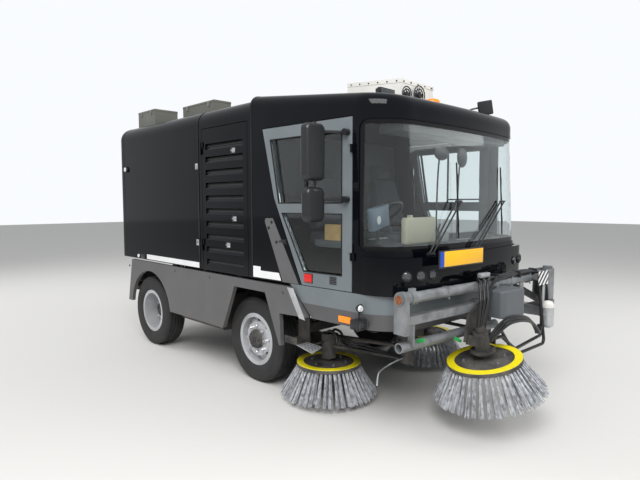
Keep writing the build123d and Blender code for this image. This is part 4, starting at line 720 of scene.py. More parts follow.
@dataclass
class Brushes(Assembly):
    """The three brushes: disc, coloured ring and bristles."""

    plate_r: float = 0.275
    inner_r: float = 0.218
    plate: float = 0.025
    ring: float = 0.008
    drop: float = 0.265
    tip_r: float = 0.420
    rows: Sequence[tuple[int, float, float]] = ((46, 0.262, 0.415), (46, 0.256, 0.394), (44, 0.236, 0.352),
                                                 (36, 0.205, 0.290))

    def build(self) -> None:
        """Builds every brush."""
        lean = facing(Vector((-0.184, 0.077, 0.98)).normalized())
        places = {
            "right": Matrix.Translation((-0.735, fore(-0.755), 0.310)),
            "left": Matrix.Translation((0.735, fore(-0.755), 0.310)),
            "front": Matrix.Translation((-0.326, fore(-1.985), 0.513)) @ lean,
        }
        for number, (name, place) in enumerate(places.items()):
            self._brush(name, place, random.Random(20 + number))
        self.dress(FRAME_BLACK, "brush_arm_right", "brush_arm_left")

    def _brush(self, name: str, place: Matrix, chance: random.Random) -> None:
        """Builds one brush.

        Args:
            name: the brush's name.
            place: where it sits.
            chance: the source of its unevenness.
        """
        body = f"brush_{name}"
        disc = Shape().lathe([(0.0, 0.010), (0.045, 0.010), (0.070, 0.0), (self.inner_r - 0.004, 0.0)], place)
        disc.lathe([(self.inner_r - 0.004, 0.0), (self.inner_r - 0.002, 0.004),
                    (self.plate_r - 0.002, 0.0045),
                    (self.plate_r, 0.0), (self.plate_r, -self.plate),
                    (self.plate_r - 0.01, -self.plate - 0.002),
                    (0.05, -self.plate - 0.002), (0.0, -self.plate - 0.002)], place)
        self.add(disc, f"brush_disc_{name}", DISC_GREY, body)
        ring = Shape().lathe([(self.inner_r, 0.002), (self.inner_r, self.ring),
                              (self.plate_r - 0.001, self.ring),
                              (self.plate_r - 0.001, 0.002)], place, closed=True, steps=72)
        self.add(ring, f"brush_ring_{name}", RING_YELLOW, body)
        bolts = Shape().bar((0.150, 0, 0.0), (0.150, 0, 0.011), 0.011, 6).bar((0.150, 0, 0.0),
                                                                              (0.150, 0, 0.018), 0.006)
        bolts.patterned(6, (0, 0, 0), (0, 0, 1)).moved(place)
        self.add(bolts, f"brush_bolts_{name}", GALVANISED, body, 30.0)
        strands = Shape()
        for count, root, tip in self.rows:
            for step in range(count):
                angle = math.tau * (step + chance.uniform(-0.15, 0.15)) / count
                self._tuft(strands, place, angle, root, tip, chance)
        piece = self.add(strands, f"brush_bristles_{name}", BRISTLE, body, 60.0, [f"brush_{name}"])

    def _tuft(self, strands: Shape, place: Matrix, angle: float, root: float, tip: float,
              chance: random.Random) -> None:
        """Adds one tuft of flat strands that spread towards the tip.

        Args:
            strands: the shape that takes them.
            place: where the brush sits.
            angle: the tuft's angle about the brush.
            root: the radius at its root.
            tip: the radius at its tip.
            chance: the source of its unevenness.
        """
        for _ in range(9):
            top = angle + chance.uniform(-0.024, 0.024)
            low = angle + chance.uniform(-0.040, 0.040)
            end = min(tip + chance.uniform(-0.020, 0.004), self.tip_r - 0.004)
            depth = -self.drop + chance.uniform(0.0, 0.012)
            a = place @ Vector((root * math.cos(top), root * math.sin(top), -self.plate + 0.004))
            b = place @ Vector((end * math.cos(low), end * math.sin(low), depth))
            strands.bar(a, b, 0.0030, 4, 0.0026, caps=False)


@dataclass
class Cab(Assembly):
    """The cab's outside."""

    screen_low: float = 1.325
    screen_high: float = 2.272
    screen_rear: float = -1.352
    border: float = 0.034
    low_border: float = 0.036
    swell: float = 0.0009
    seal_r: float = 0.0065
    upper_window: Sequence[tuple[float, float]] = ((-1.193, 1.675), (-0.499, 1.675), (-0.397, 2.203),
                                                   (-1.193, 2.203))
    lower_window: Sequence[tuple[float, float]] = ((-1.193, 1.128), (-0.790, 1.128), (-0.537, 1.591),
                                                   (-1.193, 1.591))

    def build(self) -> None:
        """Dresses the cab and adds its small parts."""
        self.dress(GLOSS_BLACK, "cab_shell", "cab_roof", "nose_panel")
        self.dress(PANEL_GREY, "front_band", "door_right", "door_left")
        self.dress(BUMPER_GREY, "front_bumper")
        self.dress(TRIM_BLACK, "mirror_right", "mirror_left")
        for name in ("windscreen", "door_glass_right", "door_glass_left"):
            node = self.nodes[name]
            node.data.materials.clear()
            node.data.materials.append(self.paint.glass)
        self._screen_border()
        self._wipers()
        self._rear_gasket()
        self._number_plate()
        for hand in Hand:
            self._door_trim(hand)
            self._pillar(hand)
            self._mirror_faces(hand)

    def _screen_border(self) -> None:
        """Builds the black print round the screen's edge."""
        low = ((0, 0, self.screen_low + self.low_border), (0, 0, 1))
        high = ((0, 0, self.screen_high - self.border), (0, 0, -1))
        rear = ((0, fore(self.screen_rear) - self.border, 0), (0, -1, 0))
        above = (low[0], (0, 0, -1))
        below = (high[0], (0, 0, 1))
        for name, cuts in (("low", [low]), ("high", [high]), ("ends", [rear, above, below])):
            shape = Shape().strip(self.nodes["windscreen"], cuts, self.swell)
            self.add(shape, f"screen_border_{name}", SCREEN_PRINT, smooth=30.0)

    def _wipers(self) -> None:
        """Builds the two wipers: a foot on the nose ledge, two arms and the blade that they carry."""
        arms, blades = Shape(), Shape()
        for foot_x, foot_y, tip_x, tip_y in ((-0.600, -1.684, -0.265, -1.712),
                                             (-0.070, -1.750, 0.520, -1.680)):
            foot = Vector((foot_x, fore(foot_y), 1.290))
            tip = Vector((tip_x, fore(tip_y), 1.686))
            arms.block((foot.x - 0.045, foot.y - 0.016, 1.286), (foot.x + 0.045, foot.y + 0.016, 1.306),
                       0.005)
            for shift in (-0.024, 0.024):
                across = Vector((shift, 0, 0))
                arms.bar(foot + across, tip + across * 1.5, 0.0065, 10)
                arms.bar(foot + across + Vector((0, 0, -0.004)), foot + across + Vector((0, 0, 0.022)), 0.013,
                         16)
            arms.bar(tip - Vector((0.044, 0, 0)), tip + Vector((0.044, 0, 0)), 0.008, 10)
            back = Vector((0, fore(tip_y + 0.010) - tip.y, 0))
            high = tip + back + Vector((0.004, 0.018, 0.300))
            low = tip + back + Vector((-0.004, -0.016, -0.290))
            blades.bar(high, low, 0.0060, 8)
            for share in (0.15, 0.5, 0.85):
                middle = high.lerp(low, share)
                blades.wire([middle.lerp(high, 0.25), middle + Vector((0, -0.012, 0)),
                             middle.lerp(low, 0.25)], 0.0035)
            arms.bar(tip, tip + back * 0.5, 0.009, 10)
        self.add(arms, "wiper_arms", TRIM_BLACK, stands_for=["wipers"])
        self.add(blades, "wiper_blades", SEAL)

    def _rear_gasket(self) -> None:
        """Builds the rubber between the cab and the engine bay."""
        behind = ((0, fore(-0.154), 0), (0, -1, 0))
        for node in ("cab_shell", "cab_roof"):
            self.add(Shape().strip(self.nodes[node], [behind], 0.0028), f"gasket_{node}", SEAL)

    @staticmethod
    def _on_door(hand: Hand, middle: float, depth: tuple[float, float], reach: tuple[float, float],
                 height: tuple[float, float], edge: float) -> Shape:
        """Returns a block set in a door's skin.

        Args:
            hand: the door's side.
            middle: where the skin's place is taken, from the front axle.
            depth: the block's inner and outer face, from the skin.
            reach: its front and back, from the front axle.
            height: its foot and top.
            edge: the radius of its edges.

        Returns:
            The block.
        """
        low, high = ((flank(middle) + d, fore(y), z) for d, y, z in zip(depth, reach, height))
        return Shape().block(low, high, edge).moved(hand.matrix())

    def _door_trim(self, hand: Hand) -> None:
        """Builds one door's seals, slider bars, reflector, grille and handle."""
        body = f"door_{hand.word}"
        out = hand.value
        seals = Shape()
        for outline in (self.upper_window, self.lower_window):
            seals.wire(on_side(hand, outline, -0.001), self.seal_r, bent=False, closed=True)
        self.add(seals, f"window_seals_{hand.word}", SEAL, body)
        bars = Shape()
        for y_low, y_high, wide in ((-0.798, -0.798, 0.016), (-0.530, -0.440, 0.020)):
            low, high = self.upper_window[0][1], self.upper_window[2][1]
            outline = [(y_low - wide / 2, low), (y_low + wide / 2, low), (y_high + wide / 2, high),
                       (y_high - wide / 2, high)]
            bars.plate(on_side(hand, outline, -0.020), (out * 0.014, 0, 0))
        bars.plate(on_side(hand, [(-1.19, 1.70), (-0.80, 1.70), (-0.80, 1.715), (-1.19, 1.715)], -0.018),
                   (out * 0.008, 0, 0))
        self.add(bars, f"window_bars_{hand.word}", TRIM_BLACK, body)
        red = self._on_door(hand, -0.84, (-0.003, 0.005), (-0.885, -0.795), (1.043, 1.108), 0.002)
        self.add(red, f"door_reflector_{hand.word}", RED_LENS, body)
        frame = self._on_door(hand, -0.84, (-0.003, 0.002), (-0.892, -0.788), (1.037, 1.114), 0.0015)
        self.add(frame, f"reflector_frame_{hand.word}", TRIM_BLACK, body)
        grille = Shape()
        for row in range(5):
            z = 1.052 + 0.0125 * row
            grille.plate(on_side(hand, [(-1.142, z), (-1.073, z), (-1.073, z + 0.008), (-1.142, z + 0.008)],
                                 -0.002),
                         (out * 0.005, 0, 0.002))
        self.add(grille, f"door_grille_{hand.word}", TRIM_BLACK, body)
        cup = self._on_door(hand, -0.56, (-0.006, 0.0015), (-0.598, -0.498), (1.330, 1.374), 0.003)
        self.add(cup, f"handle_cup_{hand.word}", SEAL, body)
        grip = self._on_door(hand, -0.56, (0.001, 0.010), (-0.592, -0.520), (1.345, 1.367), 0.004)
        grip.bar((out * flank(-0.56), fore(-0.508), 1.352),
                 (out * (flank(-0.56) + 0.007), fore(-0.508), 1.352), 0.009)
        self.add(grip, f"door_handle_{hand.word}", TRIM_BLACK, body)

    def _pillar(self, hand: Hand) -> None:
        """Builds the slanted plate behind the door, its bolts, and the white marks below it."""
        out = hand.value
        pillar = Shape().plate(on_side(hand,
                                       [(-0.425, 1.545), (-0.335, 1.545), (-0.322, 1.520), (-0.545, 1.014),
                                              (-0.735, 1.014)], 0.0004), (out * 0.003, 0, 0))
        self.add(pillar, f"pillar_plate_{hand.word}", SKIRT_GREY)
        bolts = Shape()
        for y, z in ((-0.410, 1.512), (-0.372, 1.462), (-0.470, 1.345)):
            spot = on_side(hand, [(y, z)])[0]
            bolts.bar(spot, (spot[0] + out * 0.009, spot[1], spot[2]), 0.009, 6)
            bolts.bar(spot, (spot[0] + out * 0.005, spot[1], spot[2]), 0.014, 20)
        self.add(bolts, f"pillar_bolts_{hand.word}", TRIM_BLACK, smooth=30.0)
        mark = Shape().plate(on_side(hand,
                                     [(-0.527, 1.022), (-0.163, 1.022), (-0.163, 1.120), (-0.263, 1.120),
                                            (-0.263, 1.085), (-0.499, 1.085)], 0.0036), (out * 0.0008, 0, 0))
        self.add(mark, f"cab_mark_{hand.word}", RETRO_WHITE)

    def _mirror_faces(self, hand: Hand) -> None:
        """Builds the glass of one side's two mirrors, which faces the driver."""
        glass = Shape().strip(self.nodes[f"mirror_{hand.word}"], [((0, fore(-1.0965), 0), (0, -1, 0))],
                              0.0008)
        self.add(glass, f"mirror_glass_{hand.word}", MIRROR_FACE, f"door_{hand.word}", 20.0)

    def _number_plate(self) -> None:
        """Builds the blank plate on its holder ahead of the nose."""
        turn = Matrix.Translation((-0.425, fore(-1.840), 1.272)) @ turned(-4.0, "Z")
        holder = Shape().block((-0.280, -0.006, -0.066), (0.280, 0.004, 0.064), 0.004)
        for x in (-0.16, 0.16):
            holder.block((x - 0.014, 0.002, -0.030), (x + 0.014, 0.100, -0.018), 0.002)
            holder.block((x - 0.030, -0.002, -0.050), (x + 0.030, 0.010, 0.010), 0.002)
        self.add(holder.moved(turn), "plate_holder", TRIM_BLACK)
        plate = Shape().block((-0.222, -0.0085, -0.055), (0.270, -0.0058, 0.055), 0.001)
        self.add(plate.moved(turn), "number_plate", PLATE_YELLOW)
        strip = Shape().block((-0.270, -0.0085, -0.055), (-0.222, -0.0058, 0.055), 0.001)
        self.add(strip.moved(turn), "number_plate_end", PLATE_BLUE)


@dataclass
class Seat:
    """One seat's place."""

    node: str
    x: float


@dataclass
class Cabin(Assembly):
    """What shows through the cab's glass."""

    cushion_half: float = 0.240
    cushion_y: tuple[float, float] = (-0.950, -0.450)
    cushion_z: tuple[float, float] = (1.3105, 1.430)
    back_half: float = 0.230
    back_height: float = 0.620
    back_thick: float = 0.100
    back_lean: float = 13.0
    crown: float = 0.014
    channel: float = 0.009
    seats: Sequence[Seat] = (Seat("seat_driver", -0.440), Seat("seat_mate", 0.440))
    wheel_centre: Sequence[float] = (-0.440, -1.085, 1.560)
    wheel_way: Sequence[float] = (0.0, 0.55, 0.83)

    def build(self) -> None:
        """Dresses the cabin."""
        self.dress(CABIN_GREY, "dash")
        for seat in self.seats:
            self._seat(seat)
        self._wheel()
        self._dash_gear()
        self._header()

    def _pad(self, size: Point, place: Matrix, taper: float) -> Shape:
        """Builds one crowned pad with sewn channels, its base on the place's XY plane.

        Args:
            size: its width, length and thickness.
            place: where it lies.
            taper: the share by which its far end is narrower.

        Returns:
            The pad.
        """
        pad = Shape()
        bmesh.ops.create_cube(pad.mesh, size=1.0)
        bmesh.ops.subdivide_edges(pad.mesh, edges=pad.mesh.edges[:], cuts=9, use_grid_fill=True)
        for vert in pad.mesh.verts:
            u, v, w = (2 * c for c in vert.co)
            swell = self.crown * (1 - u ** 4) * (1 - v ** 4)
            sewn = abs(abs(u) - 0.6) < 0.05 or (abs(u) < 0.65 and abs(abs(v) - 0.4) < 0.05)
            groove = self.channel if sewn else 0.0
            edge = 1.0 - 0.05 * (w * w)
            vert.co = (u / 2 * size[0] * edge * (1 - taper * (v + 1) / 2), v / 2 * size[1] * edge,
                       (w + 1) / 2 * size[2] + (swell - groove) * (1 if w > 0.95 else 0))
        return pad.moved(place)

    def _seat(self, seat: Seat) -> None:
        """Builds one seat: a cushion, a leaning back and its headrest."""
        low, high = self.cushion_y
        thick = self.cushion_z[1] - self.cushion_z[0] - self.crown
        shape = self._pad((2 * self.cushion_half, high - low, thick),
                          Matrix.Translation((seat.x, fore((low + high) / 2), self.cushion_z[0])), 0.0)
        lean = Matrix.Translation((seat.x, fore(-0.435), self.cushion_z[1] + 0.002)) @ turned(
            90.0 - self.back_lean, "X")
        back = lean @ Matrix.Translation((0, self.back_height / 2 * 0.76, 0))
        shape.joined(self._pad((2 * self.back_half, self.back_height * 0.76, self.back_thick), back, 0.22))
        head = lean @ Matrix.Translation((0, self.back_height * 0.885, 0.008))
        shape.joined(self._pad((0.26, self.back_height * 0.22, self.back_thick * 0.75), head, 0.10))
        piece = self.add(shape, seat.node.replace("seat", "seat_pads"), CLOTH_GREY, smooth=180.0,
                         stands_for=[seat.node])
        soft = piece.modifiers.new("soft", "SUBSURF")
        soft.levels = soft.render_levels = 1
        metal = Shape()
        for x in (-0.06, 0.06):
            metal.bar((seat.x + x, fore(-0.375), 1.88), (seat.x + x, fore(-0.352), 1.98), 0.006)
        metal.block((seat.x - 0.15, fore(-0.90), 1.290), (seat.x + 0.15, fore(-0.50), 1.3095), 0.004)
        self.add(metal, seat.node.replace("seat", "seat_metal"), TRIM_BLACK)
        buckle = Shape().block((seat.x + 0.235, fore(-0.530), 1.380), (seat.x + 0.262, fore(-0.490), 1.470),
                               0.006)
        self.add(buckle, seat.node.replace("seat", "seat_buckle"), RED_LENS)

    def _wheel(self) -> None:
        """Builds the steering wheel's grip, its spokes' cover and the column's stalks."""
        x, y, z = self.wheel_centre
        way = Vector(self.wheel_way).normalized()
        place = Matrix.Translation((x, fore(y), z)) @ facing(way)
        grip = Shape().lathe(hoop(0.1925, 0.012, 0.0185, 12), place, steps=56, closed=True)
        grip.lathe([(0.0, 0.040), (0.045, 0.038), (0.062, 0.028), (0.066, -0.006), (0.0, -0.006)], place)
        self.add(grip, "steering_grip", TRIM_BLACK)
        stalks = Shape()
        for side in (-1, 1):
            stalks.wire([place @ Vector(p) for p in ((side * 0.03, 0, -0.05), (side * 0.12, 0.02, -0.045),
                                                     (side * 0.19, 0.05, -0.035))], 0.006)
        self.add(stalks, "column_stalks", TRIM_BLACK)

    def _dash_gear(self) -> None:
        """Builds the hood, the monitor, the tank and the papers on the dash."""
        hood = Shape().block((-0.62, fore(-1.40), 1.345), (-0.27, fore(-1.245), 1.440), 0.018)
        hood.block((-0.84, fore(-1.505), 1.326), (0.84, fore(-1.480), 1.346), 0.006)
        self.add(hood, "dash_hood", CABIN_GREY)
        edge = Shape().block((-0.82, fore(-1.300), 1.3905), (0.82, fore(-1.262), 1.4015), 0.004)
        self.add(edge, "dash_edge", CABIN_PALE)
        tilt = Matrix.Translation((-0.780, fore(-1.335), 1.565)) @ turned(14, "Z")
        tilt = tilt @ turned(-9, "Y")
        monitor = Shape().block((-0.135, -0.030, -0.085), (0.135, 0.030, 0.085), 0.010)
        self.add(monitor.moved(tilt), "monitor", SCREEN_BLUE)
        spot = Shape().bar((-0.060, -0.029, -0.010), (-0.060, -0.0325, -0.010), 0.032, 32)
        self.add(spot.moved(tilt), "monitor_disc", RETRO_WHITE)
        arm = Shape().bar((-0.780, fore(-1.330), 1.340), (-0.780, fore(-1.330), 1.500), 0.012)
        arm.bar((-0.16, fore(-1.42), 1.34), (-0.10, fore(-1.44), 1.50), 0.008)
        self.add(arm, "monitor_arm", TRIM_BLACK)
        tank = Shape().block((-0.600, fore(-1.470), 1.347), (-0.200, fore(-1.405), 1.560), 0.020, segments=3)
        tank.bar((-0.52, fore(-1.437), 1.558), (-0.52, fore(-1.437), 1.580), 0.022, 24)
        self.add(tank, "washer_tank", TANK_CREAM)
        papers = Shape().block((0.10, fore(-1.46), 1.347), (0.36, fore(-1.33), 1.356), 0.001,
                               turned(2, "Z"))
        papers.block((-0.10, fore(-1.450), 1.345), (0.02, fore(-1.435), 1.43), 0.002)
        self.add(papers, "papers", CABIN_PALE)
        pocket = Shape().block((-1.000, fore(-1.150), 1.330), (-0.925, fore(-0.860), 1.385), 0.008)
        self.add(pocket, "door_pocket", CABIN_GREY, "door_right")
        card = Shape().block((-0.990, fore(-1.135), 1.380), (-0.935, fore(-0.965), 1.508), 0.003)
        self.add(card, "card_box", CARD_TAN, "door_right")

    def _header(self) -> None:
        """Builds the pale header over the screen and the two mirrors that hang from it."""
        header = Shape().block((-0.78, fore(-1.560), 2.195), (0.78, fore(-1.330), 2.262), 0.012)
        self.add(header, "header_liner", CABIN_MID)
        rear = Shape().block((-0.90, fore(-0.200), 1.75), (0.90, fore(-0.175), 2.30), 0.008)
        self.add(rear, "rear_liner", CABIN_GREY)
        posts = Shape()
        heads = Shape()
        for x, z, wide, high in ((-0.126, 2.085, 0.110, 0.062), (0.200, 2.066, 0.080, 0.088)):
            posts.wire([(x - 0.02, fore(-1.43), 1.34), (x - 0.02, fore(-1.43), 1.95), (x, fore(-1.445), z)],
                       0.007)
            round_head = Shape().lathe([(0.0, 0.014), (0.7, 0.011), (0.95, 0.004), (1.0, -0.004),
                                        (0.9, -0.010),
                                        (0.0, -0.012)], Matrix.Rotation(math.pi / 2, 4, "X"), 36)
            heads.joined(round_head.moved(Matrix.Translation((x, fore(-1.46), z)) @ Matrix.Diagonal(
                (wide, 1.0, high, 1.0))))
        self.add(posts, "cab_mirror_posts", TRIM_BLACK)
        self.add(heads, "cab_mirrors", TRIM_BLACK)


@dataclass
class Lights(Assembly):
    """Lamps, reflectors and the beacon."""

    nose_places: Sequence[tuple[float, float, float]] = ((0.651, -1.865, 14.0), (0.773, -1.849, 26.0),
                                                         (0.877, -1.805, 42.0))
    nose_z: float = 1.155
    beacon: tuple[float, float] = (0.100, -1.215)
    tail_y: float = 2.620
    tail_x: tuple[float, float] = (0.760, 0.910)
    tail_z: tuple[float, float] = (0.600, 0.760)

    def build(self) -> None:
        """Builds every lamp."""
        self._nose_lamps()
        self._beacon()
        self._tail_lamps()
        self._markers()

    def _nose_lamps(self) -> None:
        """Builds the three small lamps on each side of the nose."""
        bowls, lenses, rims = Shape(), Shape(), Shape()
        for x, y, degrees in self.nose_places:
            turn = math.radians(degrees)
            way = Vector((math.sin(turn), -math.cos(turn), 0.0))
            place = Matrix.Translation((x, y, self.nose_z)) @ facing(way)
            bowls.lathe([(0.0, -0.016), (0.014, -0.014), (0.028, -0.004), (0.0335, 0.010)], place, 32)
            bowls.lathe([(0.0, 0.004), (0.006, 0.002), (0.009, -0.012)], place, 20)
            lenses.lathe([(0.0, 0.0235), (0.012, 0.0228), (0.024, 0.0198), (0.0325, 0.0150), (0.0330, 0.0105),
                          (0.024, 0.0155), (0.0, 0.0190)], place, 40)
            rims.lathe([(0.0325, 0.004), (0.0325, 0.0170), (0.0345, 0.0205), (0.0375, 0.0205),
                        (0.0392, 0.0175),
                        (0.0395, -0.016), (0.0360, -0.016)], place, 40, closed=True)
        self.add(bowls.mirrored(), "lamp_bowls", CHROME)
        self.add(lenses.mirrored(), "lamp_lenses", CLEAR_LENS)
        self.add(rims.mirrored(), "lamp_rims", TRIM_BLACK, stands_for=["lamps"])

    def _beacon(self) -> None:
        """Builds the turning lamp on the roof: a ribbed dome on a black foot."""
        x, y = self.beacon
        place = Matrix.Translation((x, fore(y), 0.0))
        foot = Shape().lathe([(0.0, 2.470), (0.072, 2.470), (0.074, 2.500), (0.070, 2.512), (0.0, 2.512)],
                             place)
        self.add(foot, "beacon_foot", TRIM_BLACK)
        dome = Shape().lathe([(0.066, 2.511), (0.067, 2.548), (0.064, 2.566), (0.054, 2.579), (0.034, 2.586),
                              (0.0, 2.588)], place)
        ribs = Shape().bar((x + 0.0672, fore(y), 2.513), (x + 0.0672, fore(y), 2.549), 0.0020, 6)
        ribs.patterned(28, (x, fore(y), 0), (0, 0, 1))
        self.add(dome, "beacon_dome", AMBER)
        self.add(ribs, "beacon_ribs", AMBER)

    def _tail_lamps(self) -> None:
        """Builds the rear lamps with three coloured fields, their frames and the rear plate."""
        frames, ambers, reds, whites = Shape(), Shape(), Shape(), Shape()
        y = fore(self.tail_y)
        inner, outer = self.tail_x
        low, high = self.tail_z
        frames.block((inner, y + 0.0005, low), (outer, y + 0.012, high), 0.003)
        third = (high - low - 0.018) / 3
        for row, lens in enumerate((whites, reds, ambers)):
            z = low + 0.006 + row * (third + 0.003)
            lens.block((inner + 0.007, y + 0.010, z), (outer - 0.007, y + 0.018, z + third), 0.003)
            for rib in range(9):
                x = inner + 0.018 + rib * (outer - inner - 0.036) / 8
                lens.bar((x, y + 0.0175, z + 0.005), (x, y + 0.0175, z + third - 0.005), 0.0018, 6)
        for shape, name, finish in ((frames, "tail_frames", TRIM_BLACK), (ambers, "tail_amber", AMBER),
                                    (reds, "tail_red", RED_LENS), (whites, "tail_white", WHITE_LENS)):
            self.add(shape.mirrored(), name, finish)
        holder = Shape().block((-0.270, y - 0.001, 0.622), (0.270, y + 0.006, 0.742), 0.003)
        self.add(holder, "rear_plate_holder", TRIM_BLACK)
        plate = Shape().block((-0.260, y + 0.005, 0.627), (0.260, y + 0.0085, 0.737), 0.001)
        self.add(plate, "rear_plate", PLATE_YELLOW)

    def _markers(self) -> None:
        """Builds the side markers, the rear side lamps and the small marks along the body."""
        ambers, whites, blacks = Shape(), Shape(), Shape()
        ambers.block((flank(-1.22) - 0.004, fore(-1.286), 0.776), (flank(-1.22) + 0.010, fore(-1.166), 0.824),
                     0.004)
        self.add(ambers.mirrored(), "side_markers", AMBER)
        blacks.block((1.083, fore(1.935), 1.016), (1.097, fore(2.035), 1.068), 0.004)
        blacks.bar((1.080, fore(2.385), 2.080), (1.108, fore(2.385), 2.080), 0.034, 28)
        self.add(blacks.mirrored(), "marker_bases", TRIM_BLACK, "hopper")
        whites.bar((1.084, fore(2.120), 1.040), (1.093, fore(2.120), 1.040), 0.022, 28, 0.019)
        whites.block((1.0845, fore(0.735), 1.018), (1.0862, fore(1.905), 1.073), 0.0004, segments=1)
        self.add(whites.mirrored(), "hopper_marks", RETRO_WHITE, "hopper")
        reds = Shape().bar((1.107, fore(2.385), 2.080), (1.114, fore(2.385), 2.080), 0.029, 28, 0.022)
        self.add(reds.mirrored(), "rear_side_lamps", WHITE_LENS, "hopper")


@dataclass
class Roof(Assembly):
    """The cooler, the fans, the work lamp and the round mirror's stand."""

    cooler_x: tuple[float, float] = (-0.205, 0.281)
    cooler_y: tuple[float, float] = (-1.100, -0.480)
    cooler_top: tuple[float, float] = (2.735, 2.790)

    def build(self) -> None:
        """Builds what stands on the cab's roof."""
        self.dress(COOLER_WHITE, "ac_unit")
        self._cooler()
        self._fans()
        self._flood()
        self._stand_mirror()

    def _cooler(self) -> None:
        """Builds the cooler's lid, its rim, bolts and side vents."""
        slope = math.atan2(self.cooler_top[1] - self.cooler_top[0], self.cooler_y[1] - self.cooler_y[0])
        top = (0, fore(self.cooler_y[0]), self.cooler_top[0])
        down = Vector((0, -math.sin(slope), math.cos(slope)))
        edge = Vector(top) - down * 0.030
        lid = Shape().strip(self.nodes["ac_unit"], [(edge, -down)], 0.004)
        self.add(lid, "cooler_lid", COOLER_WHITE, smooth=30.0)
        place = Matrix.Translation(top) @ Matrix.Rotation(slope, 4, "X")
        pad = Shape().block((self.cooler_x[0] + 0.035, 0.045, 0.0), (self.cooler_x[1] - 0.035, 0.540, 0.007),
                            0.003)
        self.add(pad.moved(place), "cooler_pad", COOLER_WHITE)
        bolts, vents = Shape(), Shape()
        left, right = self.cooler_x
        for step in range(6):
            y = 0.04 + step * 0.106
            for x in (left - 0.0045, right + 0.0045):
                bolts.bar((x, y, -0.016), (x + math.copysign(0.004, x - 0.04), y, -0.016), 0.0065, 8)
        for step in range(5):
            x = left + 0.035 + step * (right - left - 0.07) / 4
            bolts.bar((x, -0.004, -0.016), (x, -0.010, -0.016), 0.0065, 8)
        self.add(bolts.moved(place), "cooler_bolts", FRAME_BLACK, smooth=30.0)
        for row in range(5):
            z = -0.080 - 0.020 * row
            vents.block((left + 0.06, -0.0035, z), (right - 0.06, 0.002, z + 0.008), 0.001)
        self.add(vents.moved(place), "cooler_vents", TRIM_BLACK)

    def _fan(self, frame: Shape, blades: Shape, x: float, z: float, radius: float, y: float) -> None:
        """Adds one small fan in its guard, which faces forward.

        Args:
            frame: the shape that takes the guard and the stand.
            blades: the shape that takes the blades.
            x: the fan's centre.
            z: its height.
            radius: the guard's radius.
            y: its distance from the front axle.
        """
        place = Matrix.Translation((x, fore(y), z)) @ Matrix.Rotation(math.pi / 2, 4, "X")
        for share in (1.0, 0.68, 0.36):
            frame.lathe(hoop(radius * share - 0.005, 0.012, 0.005, 8), place, steps=36, closed=True)
        for k in range(6):
            angle = math.tau * k / 6
            way = Vector((math.cos(angle), math.sin(angle), 0))
            frame.bar(place @ (way * 0.016 + Vector((0, 0, 0.014))), place @ (way * (radius - 0.004) +
                                                                            Vector((0, 0, 0.014))), 0.0022, 6)
        frame.bar(place @ Vector((0, 0, -0.022)), place @ Vector((0, 0, 0.018)), 0.020, 20)
        frame.bar((x, fore(y) + 0.012, 2.485), (x, fore(y) + 0.012, z), 0.009)
        frame.block((x - 0.030, fore(y) - 0.016, 2.484), (x + 0.030, fore(y) + 0.024, 2.506), 0.003)
        wing = Shape().block((0.014, -0.014, -0.0012), (radius - 0.014, 0.018, 0.0012), 0.0008,
                             turned(28, "X"))
        wing.patterned(5, (0, 0, 0), (0, 0, 1)).moved(place)
        blades.joined(wing)

    def _fans(self) -> None:
        """Builds the two fans ahead of the cooler."""
        frame, blades = Shape(), Shape()
        self._fan(frame, blades, -0.215, 2.592, 0.068, -1.160)
        self._fan(frame, blades, 0.020, 2.622, 0.084, -1.122)
        self.add(frame, "fan_guards", TRIM_BLACK)
        self.add(blades, "fan_blades", SKIRT_GREY)

    def _flood(self) -> None:
        """Builds the finned work lamp on the roof."""
        lamp, lens, y = Shape(), Shape(), fore(-1.150)
        lamp.block((-0.565, y - 0.020, 2.532), (-0.375, y + 0.018, 2.602), 0.006)
        for fin in range(13):
            x = -0.556 + fin * 0.0143
            lamp.block((x, y + 0.016, 2.538), (x + 0.004, y + 0.040, 2.596), 0.001)
        for x in (-0.572, -0.368):
            lamp.block((x - 0.004, y - 0.012, 2.490), (x + 0.004, y + 0.012, 2.575), 0.002)
        lamp.block((-0.576, y - 0.014, 2.486), (-0.364, y + 0.014, 2.500), 0.003)
        lens.block((-0.557, y - 0.024, 2.540), (-0.383, y - 0.018, 2.594), 0.003)
        self.add(lamp, "roof_lamp", TRIM_BLACK)
        self.add(lens, "roof_lamp_lens", CLEAR_LENS)

    def _stand_mirror(self) -> None:
        """Builds the small square mirror on its stand."""
        turn = Matrix.Translation((0.600, fore(-1.455), 2.540)) @ turned(-18, "Z")
        turn = turn @ turned(-12, "Y")
        head = Shape().block((-0.085, -0.014, -0.065), (0.085, 0.014, 0.065), 0.012, segments=3).moved(turn)
        head.wire([(0.500, fore(-1.30), 2.455), (0.500, fore(-1.31), 2.520), (0.560, fore(-1.42), 2.545),
                   (0.600, fore(-1.445), 2.545)], 0.008)
        head.bar((0.500, fore(-1.30), 2.455), (0.500, fore(-1.30), 2.485), 0.022, 20)
        self.add(head, "roof_mirror", TRIM_BLACK)
        glass = Shape().block((-0.072, 0.0135, -0.052), (0.072, 0.016, 0.052), 0.001).moved(turn)
        self.add(glass, "roof_mirror_glass", MIRROR_FACE)


